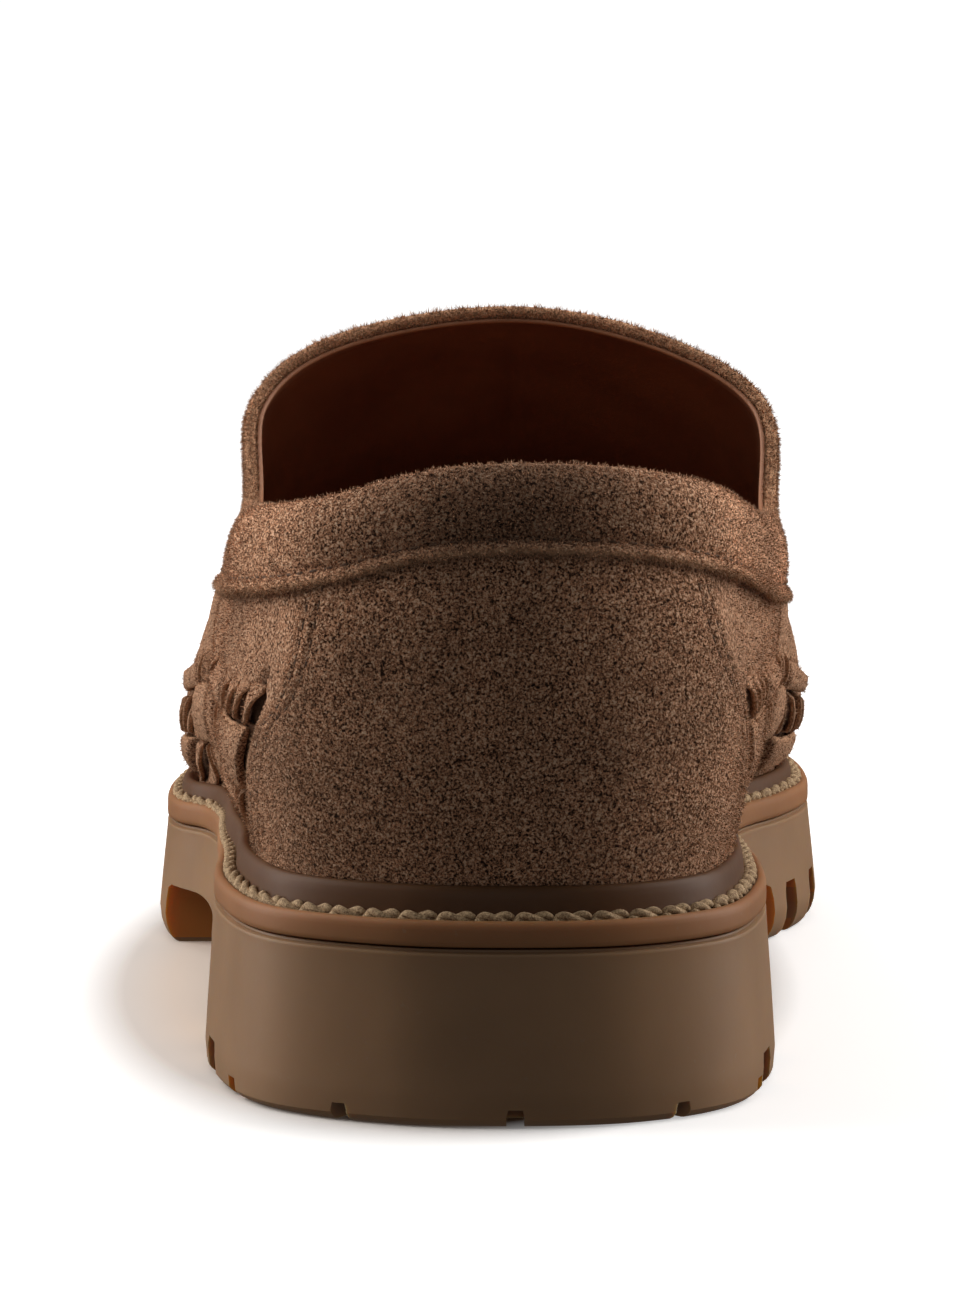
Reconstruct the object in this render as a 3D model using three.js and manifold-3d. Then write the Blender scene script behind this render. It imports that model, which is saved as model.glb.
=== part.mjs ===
import * as THREE from "three";
import Module from "manifold-3d";

// All sizes in millimetres. u runs from the lip at the back of the heel to the toe, x towards the big
// toe of a left shoe and z up from the floor.
const centreX = 0.9;
const centreU = 149.0;
const fit = 0.3;
const lipBand = 4.0;
const wall = 2.0;
const footbed = 5.4;
const archHeight = 10.4;
const archStart = 95;
const archEnd = 181;
const lugHeight = 9.4;
const lugDepth = 9;
const rimThickness = 3.0;

// Outline of the lip seen from above, as x and u.
const soleOutline = [
  [4.4, 0], [22.5, 3.4], [36.3, 16.5], [42.0, 40], [42.8, 66], [40.8, 98], [39.8, 126], [40.8, 150],
  [45.4, 172], [52.2, 190], [57.2, 210], [56.6, 234], [50.0, 257], [37.5, 278], [22.0, 291.5],
  [5.0, 298], [-12.0, 295], [-28.5, 284], [-41.5, 266], [-50.2, 244], [-55.0, 216], [-55.4, 192],
  [-53.0, 177.5], [-47.8, 166], [-44.8, 146], [-43.6, 118], [-41.9, 80], [-40.6, 46], [-32.5, 17],
  [-14.5, 3.2]];

// u and the height of the lip.
const topRows = [
  [0, 30.0], [70, 30.0], [100, 29.2], [130, 27.4], [160, 25.7], [190, 24.8], [215, 24.6], [240, 25.6],
  [270, 28.4], [298, 32.5]];
// u and the height of the underside, flat to the ball and then the toe spring.
const bottomRows = [[0, 0], [228, 0], [245, 0.9], [265, 3.6], [283, 7.4], [298, 11.5]];
// u and the height of the raised rim over the lip.
const rimRows = [[0, 4.6], [100, 4.4], [150, 3.6], [200, 3.0], [298, 3.0]];
// u and how far the foot of the upper stands inside the lip.
const insetRows = [[0, 6.5], [60, 6.4], [100, 4.4], [150, 4.2], [190, 5.4], [230, 6.2], [298, 6.5]];

// Heights of the five widths below, as shares of the ridge height.
const levels = [0, 0.16, 0.36, 0.58, 0.8, 0.94, 1];
// u, x of the ridge, ridge height over the rim, five lateral widths, five medial widths.
const sectionRows = [
  [22, 4.4, 82, 29.5, 30.0, 27.8, 26.0, 17.0, 34.0, 35.0, 33.3, 31.5, 22.0],
  [40, 4.0, 82, 35.8, 36.6, 34.2, 31.5, 21.0, 38.3, 39.8, 38.3, 36.5, 26.0],
  [75, 3.6, 82, 40.0, 41.0, 36.2, 32.5, 21.5, 42.0, 44.8, 43.6, 41.0, 28.0],
  [105, 4.0, 82, 42.8, 43.2, 38.6, 36.8, 24.0, 44.0, 46.8, 46.6, 45.0, 29.0],
  [135, 4.0, 81.5, 44.6, 44.2, 41.4, 38.6, 23.8, 44.6, 46.8, 48.0, 46.2, 28.5],
  [160, 4.0, 75.5, 47.6, 47.8, 43.0, 34.0, 19.0, 47.2, 50.5, 49.2, 40.5, 23.0],
  [185, 4.0, 64.5, 52.0, 50.8, 44.0, 31.0, 17.0, 52.4, 53.4, 48.4, 36.0, 20.0],
  [205, 4.5, 55.5, 52.4, 50.2, 42.5, 29.0, 15.5, 55.4, 54.6, 47.8, 34.0, 19.0],
  [230, 6.0, 46.5, 49.3, 46.5, 38.5, 26.0, 12.5, 53.5, 52.0, 45.0, 32.5, 19.5],
  [258, 7.5, 40.5, 41.0, 38.5, 31.5, 20.0, 8.0, 47.0, 45.5, 39.0, 28.5, 18.5]];
const toeStart = 240;
const tipReach = 30;
// Height over the rim and how far the back of the heel leans forward of its foot.
const backRows = [[0, 0], [12, -2.6], [24, -3.8], [38, -3.2], [50, -1.0], [64, 3.0], [90, 12.0]];
const backReach = 80;
// Distance from the back of the heel, lateral and medial height of the shell's top edge.
const toplineRows = [
  [0, 94.7, 94.7], [9, 94.1, 94.4], [17, 92.6, 93.6], [25, 90.3, 92.1], [35, 88.1, 89.7],
  [50, 85.9, 85.9], [75, 83.3, 81.7], [100, 82.3, 80.5], [140, 82.3, 80.5]];
const throatStart = 96;
const throatEnd = 137;
const throatBlunt = 0.55;

// Woven lower quarter: rows as shares of the section, columns along u.
const weaveRows = [0.02, 0.12, 0.235, 0.3];
const weaveStarts = [50, 42, 34];
const weaveColumn = 26;
const weaveColumns = 6;
const strapRise = 1.9;
const combRise = 0.5;
const slitsPerCell = 3;
const slitWidth = 1.5;

// Plug of the vamp: how far forward it reaches, where its seam starts and how much it stands up.
const plugStart = 128;
const plugEnd = 270;
const plugShare = 0.62;
const plugRise = 0.9;

// Counter: height of its side seam and the u it has there.
const seamRows = [
  [30, 49], [35, 47], [41, 42.5], [47, 37.5], [52, 33.5], [57, 28.5], [61, 21.5], [67, 17.5], [75, 15.5],
  [90, 13.5]];
const counterRows = [0, 0.18, 0.34, 0.47, 0.55, 0.63, 0.72, 0.85, 1];
const counterThickness = 0.8;
const counterGap = 0.55;
const collarDrop = 11.2;
const collarThickness = 1.4;
const collarLining = 7;
const collarEnd = 93;

const suede = new THREE.MeshStandardMaterial({ color: 0x7a5f49, roughness: 0.95, metalness: 0 });
const darkSuede = new THREE.MeshStandardMaterial({ color: 0x6b503d, roughness: 0.95, metalness: 0 });
const rubber = new THREE.MeshStandardMaterial({ color: 0x5c4a36, roughness: 0.5, metalness: 0 });
const welting = new THREE.MeshStandardMaterial({ color: 0x6a4f38, roughness: 0.45, metalness: 0 });
const leather = new THREE.MeshStandardMaterial({ color: 0x5a2a18, roughness: 0.6, metalness: 0 });

const wasm = await Module();
wasm.setup();

const clamp = (value, low, high) => Math.min(Math.max(value, low), high);
const mix = (a, b, share) => a + (b - a) * share;

function smooth(value) {
  const share = clamp(value, 0, 1);
  return share * share * (3 - 2 * share);
}

// Monotone cubic through the rows of a table.
function slopesOf(rows, column) {
  const count = rows.length;
  const step = [];
  const rise = [];
  for (let i = 0; i < count - 1; i += 1) {
    step.push(rows[i + 1][0] - rows[i][0]);
    rise.push((rows[i + 1][column] - rows[i][column]) / step[i]);
  }
  const slopes = [rise[0]];
  for (let i = 1; i < count - 1; i += 1) {
    const first = 2 * step[i] + step[i - 1];
    const second = step[i] + 2 * step[i - 1];
    const same = rise[i - 1] * rise[i] > 0;
    slopes.push(same ? (first + second) / (first / rise[i - 1] + second / rise[i]) : 0);
  }
  slopes.push(rise[count - 2]);
  return slopes;
}

const slopeStore = new Map();

function table(rows, at, column = 1) {
  if (!slopeStore.has(rows)) {
    slopeStore.set(rows, rows[0].map((_, i) => (i ? slopesOf(rows, i) : [])));
  }
  const slopes = slopeStore.get(rows)[column];
  const u = clamp(at, rows[0][0], rows[rows.length - 1][0]);
  let i = 0;
  while (i < rows.length - 2 && u > rows[i + 1][0]) {
    i += 1;
  }
  const h = rows[i + 1][0] - rows[i][0];
  const t = (u - rows[i][0]) / h;
  return (1 + 2 * t) * (1 - t) ** 2 * rows[i][column] + t * (1 - t) ** 2 * h * slopes[i]
    + t * t * (3 - 2 * t) * rows[i + 1][column] + t * t * (t - 1) * h * slopes[i + 1];
}

function cubic(a, b, c, d, f) {
  return 0.5 * (2 * b + (c - a) * f + (2 * a - 5 * b + 4 * c - d) * f * f
    + (3 * b - a - 3 * c + d) * f * f * f);
}

function closedSpline(points, count) {
  const fine = [];
  for (let i = 0; i < points.length; i += 1) {
    const around = [-1, 0, 1, 2].map((k) => points[(i + k + points.length) % points.length]);
    for (let k = 0; k < 24; k += 1) {
      fine.push([0, 1].map((axis) => cubic(...around.map((p) => p[axis]), k / 24)));
    }
  }
  fine.push(fine[0]);
  const run = [0];
  for (let i = 1; i < fine.length; i += 1) {
    run.push(run[i - 1] + Math.hypot(fine[i][0] - fine[i - 1][0], fine[i][1] - fine[i - 1][1]));
  }
  const out = [];
  let at = 0;
  for (let i = 0; i < count; i += 1) {
    const target = (run[run.length - 1] * i) / count;
    while (run[at + 1] < target) {
      at += 1;
    }
    const share = (target - run[at]) / (run[at + 1] - run[at]);
    out.push([mix(fine[at][0], fine[at + 1][0], share), mix(fine[at][1], fine[at + 1][1], share)]);
  }
  return out;
}

function inwardNormals(loop) {
  return loop.map((_, i) => {
    const next = loop[(i + 1) % loop.length];
    const last = loop[(i + loop.length - 1) % loop.length];
    const size = Math.hypot(next[0] - last[0], next[1] - last[1]);
    return [-(next[1] - last[1]) / size, (next[0] - last[0]) / size];
  });
}

const outline = closedSpline(soleOutline, 720);
const outlineNormals = inwardNormals(outline);

function splitSides(loop) {
  const us = loop.map((p) => p[1]);
  const first = us.indexOf(Math.min(...us));
  const last = us.indexOf(Math.max(...us));
  const count = loop.length;
  const medial = [];
  const lateral = [];
  for (let k = 0; k <= (last - first + count) % count; k += 1) {
    medial.push((first + k) % count);
  }
  for (let k = 0; k <= (first - last + count) % count; k += 1) {
    lateral.push((first - k + count) % count);
  }
  return { medial, lateral };
}

const feather = outline.map((p, i) => {
  const inset = table(insetRows, p[1]);
  return [p[0] + inset * outlineNormals[i][0], p[1] + inset * outlineNormals[i][1]];
});
const featherSides = splitSides(feather);
const outlineSides = splitSides(outline);
const heelU = Math.min(...feather.map((p) => p[1]));
const toeU = Math.max(...feather.map((p) => p[1]));
const lipHeelU = Math.min(...outline.map((p) => p[1]));
const lipToeU = Math.max(...outline.map((p) => p[1]));

function walk(loop, indices, u) {
  let low = 0;
  let high = indices.length - 1;
  while (high - low > 1) {
    const middle = (low + high) >> 1;
    if (loop[indices[middle]][1] <= u) {
      low = middle;
    } else {
      high = middle;
    }
  }
  const a = loop[indices[low]];
  const b = loop[indices[high]];
  return { low: indices[low], high: indices[high], share: clamp((u - a[1]) / (b[1] - a[1]), 0, 1) };
}

function featherX(u, side) {
  const spot = walk(feather, side < 0 ? featherSides.lateral : featherSides.medial, u);
  return mix(feather[spot.low][0], feather[spot.high][0], spot.share);
}

const widthRows = sectionRows.map((row) => {
  const lateral = Math.abs(featherX(row[0], -1) - row[1]);
  const medial = Math.abs(featherX(row[0], 1) - row[1]);
  return row.map((value, i) => {
    if (i < 3) {
      return value;
    }
    return i < 8 ? (value + row[1]) / lateral : (value - row[1]) / medial;
  });
});
const heelTipX = featherX(heelU, 1);
const toeTipX = featherX(toeU, 1);
const lipTop = (u) => table(topRows, u);
const rimTop = (u) => table(topRows, u) + table(rimRows, u);
const baseHeight = (u) => lipTop(u) - lipBand + fit / 2;

// A point of the last: station u, side -1 lateral or 1 medial, share t from the rim to the ridge.
function foot(u, side, share) {
  const t = clamp(share, 0, 1);
  const nearTip = u < 100 ? 1 - (u - heelU) / tipReach : (u - toeStart) / (toeU - toeStart);
  const pull = clamp(nearTip, 0, 1) ** 2;
  const ridgeX = mix(table(widthRows, u, 1), u < 100 ? heelTipX : toeTipX, pull);
  const toe = clamp((u - toeStart) / (toeU - toeStart), 0, 1);
  const high = table(widthRows, u, 2) * Math.sqrt(Math.max(1 - toe ** 2.8, 0));
  const half = featherX(u, side) - ridgeX;
  const widths = [0, 1, 2, 3, 4].map((k) => table(widthRows, u, (side < 0 ? 3 : 8) + k));
  const wide = [2 - widths[0], 1, ...widths, 0, -widths[4]];
  const tall = [-levels[1], ...levels, levels[5]];
  const at = Math.min(Math.floor(t * 6), 5);
  const f = t * 6 - at;
  const x = ridgeX + half * cubic(...wide.slice(at, at + 4), f);
  const z = high * cubic(...tall.slice(at, at + 4), f);
  const back = clamp(1 - (u - heelU) / backReach, 0, 1) ** 2;
  return new THREE.Vector3(x, u + back * table(backRows, Math.max(z, 0)), rimTop(u) + z);
}

const uOf = (a) => heelU + ((toeU - heelU) * (1 - Math.cos(Math.PI * a))) / 2;
const aOf = (u) => Math.acos(clamp(1 - (2 * (u - heelU)) / (toeU - heelU), -1, 1)) / Math.PI;

function footAt(a, side, t) {
  const over = t > 1;
  const behind = a < 0;
  const turned = over !== behind ? -side : side;
  return foot(uOf(Math.abs(a)), turned, over ? 2 - t : t);
}

function normalAt(u, side, t) {
  const a = clamp(aOf(u), 0, 0.992);
  const along = footAt(a + 0.002, side, t).sub(footAt(a - 0.002, side, t));
  const up = footAt(a, side, t + 0.004).sub(footAt(a, side, Math.max(t - 0.004, 0)));
  return along.cross(up).multiplyScalar(side).normalize();
}

function shareAtHeight(u, side, height) {
  let low = 0;
  let high = 0.9;
  for (let i = 0; i < 30; i += 1) {
    const middle = (low + high) / 2;
    if (foot(u, side, middle).z < height) {
      low = middle;
    } else {
      high = middle;
    }
  }
  return low;
}

function toplineHeight(u, side) {
  const reach = Math.hypot(featherX(u, side) - 4.4, u - heelU);
  return table(toplineRows, reach, side < 0 ? 1 : 2);
}

function topShare(u, side) {
  const station = Math.min(u, throatStart);
  const open = shareAtHeight(station, side, toplineHeight(station, side));
  const q = clamp((u - throatStart) / (throatEnd - throatStart), 0, 1);
  const round = Math.sqrt(Math.max(1 - q * q, 0));
  return 1 - (1 - open) * round * (throatBlunt + (1 - throatBlunt) * round * round);
}

function plugLine(u) {
  const q = clamp((u - plugStart) / (plugEnd - plugStart), 0, 1);
  return 1 - (1 - plugShare) * Math.sqrt(Math.max(1 - q ** 2.6, 0));
}

function weaveCell(u, t) {
  let row = 0;
  while (row < 3 && t >= weaveRows[row + 1]) {
    row += 1;
  }
  const column = Math.floor((u - weaveStarts[row]) / weaveColumn);
  if (row > 2 || column < 0 || column >= weaveColumns || t < weaveRows[0]) {
    return null;
  }
  const across = (u - weaveStarts[row]) / weaveColumn - column;
  const up = (t - weaveRows[row]) / (weaveRows[row + 1] - weaveRows[row]);
  return { strap: (column + row) % 2 === 1, across, up };
}

// How far the surface stands out from the last, for the straps of the weave and the plug.
function relief(u, t) {
  const cell = weaveCell(u, t);
  let rise = 0;
  if (cell) {
    const crown = Math.sin(Math.PI * clamp(cell.up, 0, 1)) ** 0.6;
    rise = cell.strap ? strapRise * Math.sin(Math.PI * cell.across) ** 0.5 * crown : combRise * crown;
  }
  return rise + plugRise * smooth((t - plugLine(u)) / 0.05) * smooth((u - throatEnd) / 25);
}

function weld(triangles) {
  const keys = new Map();
  const points = [];
  const faces = [];
  for (const triangle of triangles) {
    const ids = triangle.map((p) => {
      const key = [p.x, p.y, p.z].map((value) => Math.round(value * 500)).join();
      if (!keys.has(key)) {
        keys.set(key, points.length / 3);
        points.push(p.x, p.y, p.z);
      }
      return keys.get(key);
    });
    if (ids[0] !== ids[1] && ids[1] !== ids[2] && ids[0] !== ids[2]) {
      faces.push(...ids);
    }
  }
  return { points, faces };
}

function solidOf(triangles) {
  const { points, faces } = weld(triangles);
  const mesh = new wasm.Mesh({
    numProp: 3,
    vertProperties: Float32Array.from(points),
    triVerts: Uint32Array.from(faces),
  });
  return new wasm.Manifold(mesh);
}

function meshOf(solid, name, material) {
  const mesh = solid.getMesh();
  const points = [];
  for (let i = 0; i < mesh.vertProperties.length; i += mesh.numProp) {
    points.push(mesh.vertProperties[i] - centreX, mesh.vertProperties[i + 1] - centreU);
    points.push(mesh.vertProperties[i + 2]);
  }
  const geometry = new THREE.BufferGeometry();
  geometry.setAttribute("position", new THREE.Float32BufferAttribute(points, 3));
  geometry.setIndex([...mesh.triVerts]);
  geometry.computeVertexNormals();
  const out = new THREE.Mesh(geometry, material);
  out.name = name;
  return out;
}

// Quads between two rows of points, turned over when asked.
function strip(triangles, first, second, turned) {
  for (let i = 0; i < first.length - 1; i += 1) {
    const [a, b, c, d] = [first[i], first[i + 1], second[i + 1], second[i]];
    if (turned) {
      triangles.push([a, c, b], [a, d, c]);
    } else {
      triangles.push([a, b, c], [a, c, d]);
    }
  }
}

// A closed tube of rows: each row is a closed loop, the rows run to a closed ring or to flat ends.
function tubeOf(rows, closedRing) {
  const triangles = [];
  const looped = rows.map((row) => [...row, row[0]]);
  const count = closedRing ? rows.length : rows.length - 1;
  for (let i = 0; i < count; i += 1) {
    strip(triangles, looped[i], looped[(i + 1) % rows.length], false);
  }
  if (!closedRing) {
    for (let k = 1; k < rows[0].length - 1; k += 1) {
      triangles.push([rows[0][0], rows[0][k + 1], rows[0][k]]);
      const last = rows[rows.length - 1];
      triangles.push([last[0], last[k], last[k + 1]]);
    }
  }
  const solid = solidOf(triangles);
  return solid.volume() < 0 ? solidOf(triangles.map(([a, b, c]) => [a, c, b])) : solid;
}

function stations(count, from, to) {
  return Array.from({ length: count + 1 }, (_, i) => from + ((to - from) * (1 - Math.cos((Math.PI * i) / count))) / 2);
}

// The lip outline moved inwards, as lateral and medial points at the same stations.
function ringPoints(us, insetOf, heightOf) {
  const sideOf = (indices, u) => {
    const spot = walk(outline, indices, u);
    const at = [0, 1].map((axis) => mix(outline[spot.low][axis], outline[spot.high][axis], spot.share));
    const turn = [0, 1].map((axis) => mix(
      outlineNormals[spot.low][axis], outlineNormals[spot.high][axis], spot.share));
    const inset = insetOf(u);
    return new THREE.Vector3(at[0] + inset * turn[0], at[1] + inset * turn[1], heightOf(u));
  };
  return {
    lateral: us.map((u) => sideOf(outlineSides.lateral, u)),
    medial: us.map((u, i) => {
      const tip = i === 0 || i === us.length - 1;
      return sideOf(tip ? outlineSides.lateral : outlineSides.medial, u);
    }),
  };
}

// A block from stacked outlines, the lowest first, with ruled caps.
function blockOf(levelsOf) {
  const triangles = [];
  for (let k = 0; k < levelsOf.length - 1; k += 1) {
    strip(triangles, levelsOf[k].medial, levelsOf[k + 1].medial, false);
    strip(triangles, levelsOf[k].lateral, levelsOf[k + 1].lateral, true);
  }
  strip(triangles, levelsOf[0].lateral, levelsOf[0].medial, false);
  const top = levelsOf[levelsOf.length - 1];
  strip(triangles, top.lateral, top.medial, true);
  const solid = solidOf(triangles);
  return solid.volume() < 0 ? solidOf(triangles.map(([a, b, c]) => [a, c, b])) : solid;
}

// A box with its own axes, wider by some share at the far end of its second axis.
function boxOf(centre, axes, sizes, spread = 1) {
  const rows = [-0.5, 0.5].map((along) => {
    const grow = along > 0 ? spread : 1;
    return [[-0.5, -0.5], [0.5, -0.5], [0.5, 0.5], [-0.5, 0.5]].map(([across, up]) => centre.clone()
      .addScaledVector(axes[0], across * sizes[0] * grow)
      .addScaledVector(axes[1], along * sizes[1])
      .addScaledVector(axes[2], up * sizes[2] * grow));
  });
  return tubeOf(rows, false);
}

function cutAll(solid, cutters) {
  return cutters.reduce((left, cutter) => left.subtract(cutter), solid);
}

function prismAcross(profile) {
  const rows = [-90, 90].map((x) => profile.map(([u, z]) => new THREE.Vector3(x, u, z)));
  return tubeOf(rows, false);
}

const upAxis = new THREE.Vector3(0, 0, 1);

// A notch in the side wall of the tread at station u.
function sideNotch(u, side, width, height, depth) {
  const spot = walk(outline, side < 0 ? outlineSides.lateral : outlineSides.medial, u);
  const [x, y] = outline[spot.low];
  const [nx, ny] = outlineNormals[spot.low];
  const inward = new THREE.Vector3(nx, ny, 0);
  const along = new THREE.Vector3(-ny, nx, 0);
  const foot0 = table(bottomRows, y) - 6;
  const centre = new THREE.Vector3(x, y, foot0 + (height + 6) / 2).addScaledVector(inward, depth / 2 - 3);
  return boxOf(centre, [along, inward, upAxis], [width, depth + 6, height + 6]);
}

function backNotch(x, width, height, depth) {
  const spot = outline.reduce((best, p, i) => (p[1] < 40 && Math.abs(p[0] - x)
    < Math.abs(outline[best][0] - x) ? i : best), 0);
  const inward = new THREE.Vector3(outlineNormals[spot][0], outlineNormals[spot][1], 0);
  const along = new THREE.Vector3(-inward.y, inward.x, 0);
  const centre = new THREE.Vector3(outline[spot][0], outline[spot][1], (height - 4) / 2)
    .addScaledVector(inward, depth / 2 - 3);
  return boxOf(centre, [along, inward, upAxis], [width, depth + 6, height + 4]);
}

function makeOutsole() {
  const us = stations(40, lipHeelU, lipToeU);
  const under = (u) => table(bottomRows, u);
  const block = blockOf([
    ringPoints(us, () => -0.3, under),
    ringPoints(us, () => -1.3, (u) => under(u) + 1.0),
    ringPoints(us, () => -1.6, (u) => under(u) + 3.2),
    ringPoints(us, () => 0, (u) => lipTop(u) - lipBand - fit / 2)]);
  const arch = prismAcross([
    [archStart, -6], [archStart, archHeight - 4], [archStart + 4, archHeight], [archEnd - 2, archHeight],
    [archEnd, archHeight - 1.5], [archEnd, -6]]);
  const cutters = [arch];
  for (const u of [191, 207, 224, 241, 257]) {
    cutters.push(sideNotch(u, 1, 6.5, lugHeight, lugDepth));
  }
  for (const u of [200, 217, 233, 249, 264]) {
    cutters.push(sideNotch(u, -1, 6.5, lugHeight, lugDepth));
  }
  for (const [u, side] of [[43, -1], [70, -1], [60, 1], [33, 1]]) {
    cutters.push(sideNotch(u, side, 8, 6, 7));
  }
  for (const x of [-20.4, 4.4, 28.3]) {
    cutters.push(backNotch(x, 2.5, 2.7, 8));
  }
  for (const x of [-14, 3, 20]) {
    const centre = new THREE.Vector3(x, lipToeU - 3, 11.5);
    cutters.push(boxOf(centre, [new THREE.Vector3(1, 0, 0), new THREE.Vector3(0, 1, 0), upAxis], [4, 18, 9]));
  }
  for (const u of [26, 52, 78, 192, 209, 226, 243]) {
    const low = table(bottomRows, u);
    const deep = low + (u > 100 ? 4.5 : 3);
    cutters.push(prismAcross([[u - 2.2, low - 8], [u - 1.6, deep], [u + 1.6, deep], [u + 2.2, low - 8]]));
  }
  return cutAll(block, cutters);
}

// The welt ring: lip, ledge for the stitches and raised rim against the upper.
function makeWelt() {
  const us = stations(36, lipHeelU, lipToeU);
  const inset = (u) => table(insetRows, u);
  const rim = (u) => table(rimRows, u);
  const profile = [
    [() => 0, () => fit / 2],
    [() => 0, () => lipBand - 0.6],
    [() => 0.6, () => lipBand],
    [(u) => inset(u) - rimThickness - 0.4, () => lipBand - 0.3],
    [(u) => inset(u) - rimThickness, (u) => lipBand + rim(u) * 0.7],
    [(u) => inset(u) - rimThickness * 0.6, (u) => lipBand + rim(u)],
    [(u) => inset(u) - fit - 0.05, (u) => lipBand + rim(u) - 0.7],
    [(u) => inset(u) - fit - 0.05, () => fit / 2]];
  const rings = profile.map(([inwards, height]) => ringPoints(
    us, inwards, (u) => lipTop(u) - lipBand + height(u)));
  const rows = [];
  const last = us.length - 1;
  for (let i = 0; i <= last; i += 1) {
    rows.push(rings.map((ring) => ring.medial[i]));
  }
  for (let i = last - 1; i > 0; i -= 1) {
    rows.push(rings.map((ring) => ring.lateral[i]));
  }
  return tubeOf(rows, true);
}

function makeInsole() {
  const us = stations(28, lipHeelU, lipToeU);
  const edge = (more) => (u) => table(insetRows, u) + wall + fit + 0.8 + more;
  return blockOf([
    ringPoints(us, edge(0), (u) => baseHeight(u)),
    ringPoints(us, edge(0), (u) => baseHeight(u) + footbed - 1.2),
    ringPoints(us, edge(1.4), (u) => baseHeight(u) + footbed)]);
}

// The shell's grid: at each station the u of its lowest rows and the u of its top edge.
function upperStations() {
  const stations = [];
  const reach = throatEnd - throatStart;
  for (let i = 0; i < 18; i += 1) {
    const u = heelU + (throatStart - heelU) * (1 - Math.cos((Math.PI * i) / 36));
    stations.push({ low: u, edge: u });
  }
  for (let i = 0; i < 8; i += 1) {
    const edge = throatStart + reach * Math.sin((Math.PI * i) / 16);
    stations.push({ low: throatStart + (reach * i) / 8, edge });
  }
  for (let i = 0; i <= 24; i += 1) {
    const u = throatEnd + (toeU - throatEnd) * Math.sin((Math.PI / 2) * (i / 24) ** 1.25);
    stations.push({ low: u, edge: u });
  }
  return stations;
}

const lowShares = [0, 0.02, 0.07, 0.12, 0.178, 0.235, 0.268, 0.3];

// u of a place on a station's line, which leans towards the front of the throat.
function leaning(station, t, top) {
  const share = clamp((t - lowShares[7]) / (top - lowShares[7]), 0, 1);
  return mix(station.low, station.edge, share ** 1.5);
}

function isOpen(station) {
  return station.edge < throatEnd - 0.001;
}

function outerRow(station, side) {
  const rise = foot(station.low, side, 0);
  const row = [new THREE.Vector3(rise.x, rise.y, baseHeight(station.low))];
  const top = isOpen(station) ? topShare(station.edge, side) : 1;
  const shares = [...lowShares];
  for (let k = 1; k <= 7; k += 1) {
    shares.push(mix(lowShares[7], top, k / 7));
  }
  for (const t of shares) {
    const u = leaning(station, t, top);
    row.push(foot(u, side, t).addScaledVector(normalAt(u, side, t), relief(u, t)));
  }
  return row;
}

function innerRow(station, side) {
  const top = isOpen(station) ? topShare(station.edge, side) : 1;
  const shares = [0, 0.12, 0.25, 0.37, mix(0.37, top, 0.5), top];
  const row = shares.map((t) => {
    const u = leaning(station, t, top);
    return foot(u, side, t).addScaledVector(normalAt(u, side, t), -wall);
  });
  const flat = normalAt(station.low, side, 0.02).setZ(0).normalize();
  const low = foot(station.low, side, 0).addScaledVector(flat, -wall);
  row[0] = low.clone();
  return [new THREE.Vector3(low.x, low.y, baseHeight(station.low)), ...row];
}

function shellRows(stations, rowOf) {
  const rows = [-1, 1].map((side) => stations.map((station) => rowOf(station, side)));
  const [lateral, medial] = rows;
  const last = stations.length - 1;
  medial[0] = lateral[0];
  lateral[last] = lateral[last].map((p, k) => lateral[last][Math.min(k, 1)]);
  medial[last] = lateral[last];
  for (let j = 1; j < last; j += 1) {
    if (!isOpen(stations[j])) {
      medial[j][medial[j].length - 1] = lateral[j][lateral[j].length - 1];
    }
  }
  return rows;
}

function makeUpper() {
  const stations = upperStations();
  const triangles = [];
  const outerRows = shellRows(stations, outerRow);
  const innerRows = shellRows(stations, innerRow);
  for (const [index, turned] of [[0, false], [1, true]]) {
    const outer = outerRows[index];
    const inner = innerRows[index];
    for (let j = 0; j < stations.length - 1; j += 1) {
      strip(triangles, outer[j], outer[j + 1], turned);
      strip(triangles, inner[j], inner[j + 1], !turned);
      strip(triangles, [outer[j][0], inner[j][0]], [outer[j + 1][0], inner[j + 1][0]], !turned);
      if (isOpen(stations[j])) {
        const first = [outer[j][outer[j].length - 1], inner[j][inner[j].length - 1]];
        const second = [outer[j + 1][outer[j + 1].length - 1], inner[j + 1][inner[j + 1].length - 1]];
        strip(triangles, first, second, turned);
      }
    }
  }
  const solid = solidOf(triangles);
  const shell = solid.volume() < 0 ? solidOf(triangles.map(([a, b, c]) => [a, c, b])) : solid;
  return cutAll(shell, makeSlits());
}

function makeSlits() {
  const cutters = [];
  for (const side of [-1, 1]) {
    for (let column = 0; column < weaveColumns; column += 1) {
      for (let row = 0; row < 3; row += 1) {
        if ((column + row) % 2 === 0) {
          const low = mix(weaveRows[row], weaveRows[row + 1], 0.22);
          const high = mix(weaveRows[row], weaveRows[row + 1], 0.8);
          for (let k = 0; k < slitsPerCell; k += 1) {
            const u = weaveStarts[row] + weaveColumn * (column + (k + 0.5) / slitsPerCell);
            const bottom = foot(u, side, low);
            const top = foot(u, side, high);
            const across = normalAt(u, side, (low + high) / 2);
            const up = top.clone().sub(bottom);
            const tall = up.length();
            up.normalize();
            const along = new THREE.Vector3().crossVectors(up, across).normalize();
            const outward = new THREE.Vector3().crossVectors(along, up).normalize();
            const centre = bottom.add(top).multiplyScalar(0.5).addScaledVector(outward, -0.5);
            cutters.push(boxOf(centre, [along, outward, up], [slitWidth, 9, tall]));
          }
        }
      }
    }
  }
  return cutters;
}

// A point of the shell's outside at a height, moved out along its normal.
function shellPoint(u, side, height, out) {
  const t = shareAtHeight(u, side, height);
  return foot(u, side, t).addScaledVector(normalAt(u, side, t), out);
}

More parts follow.
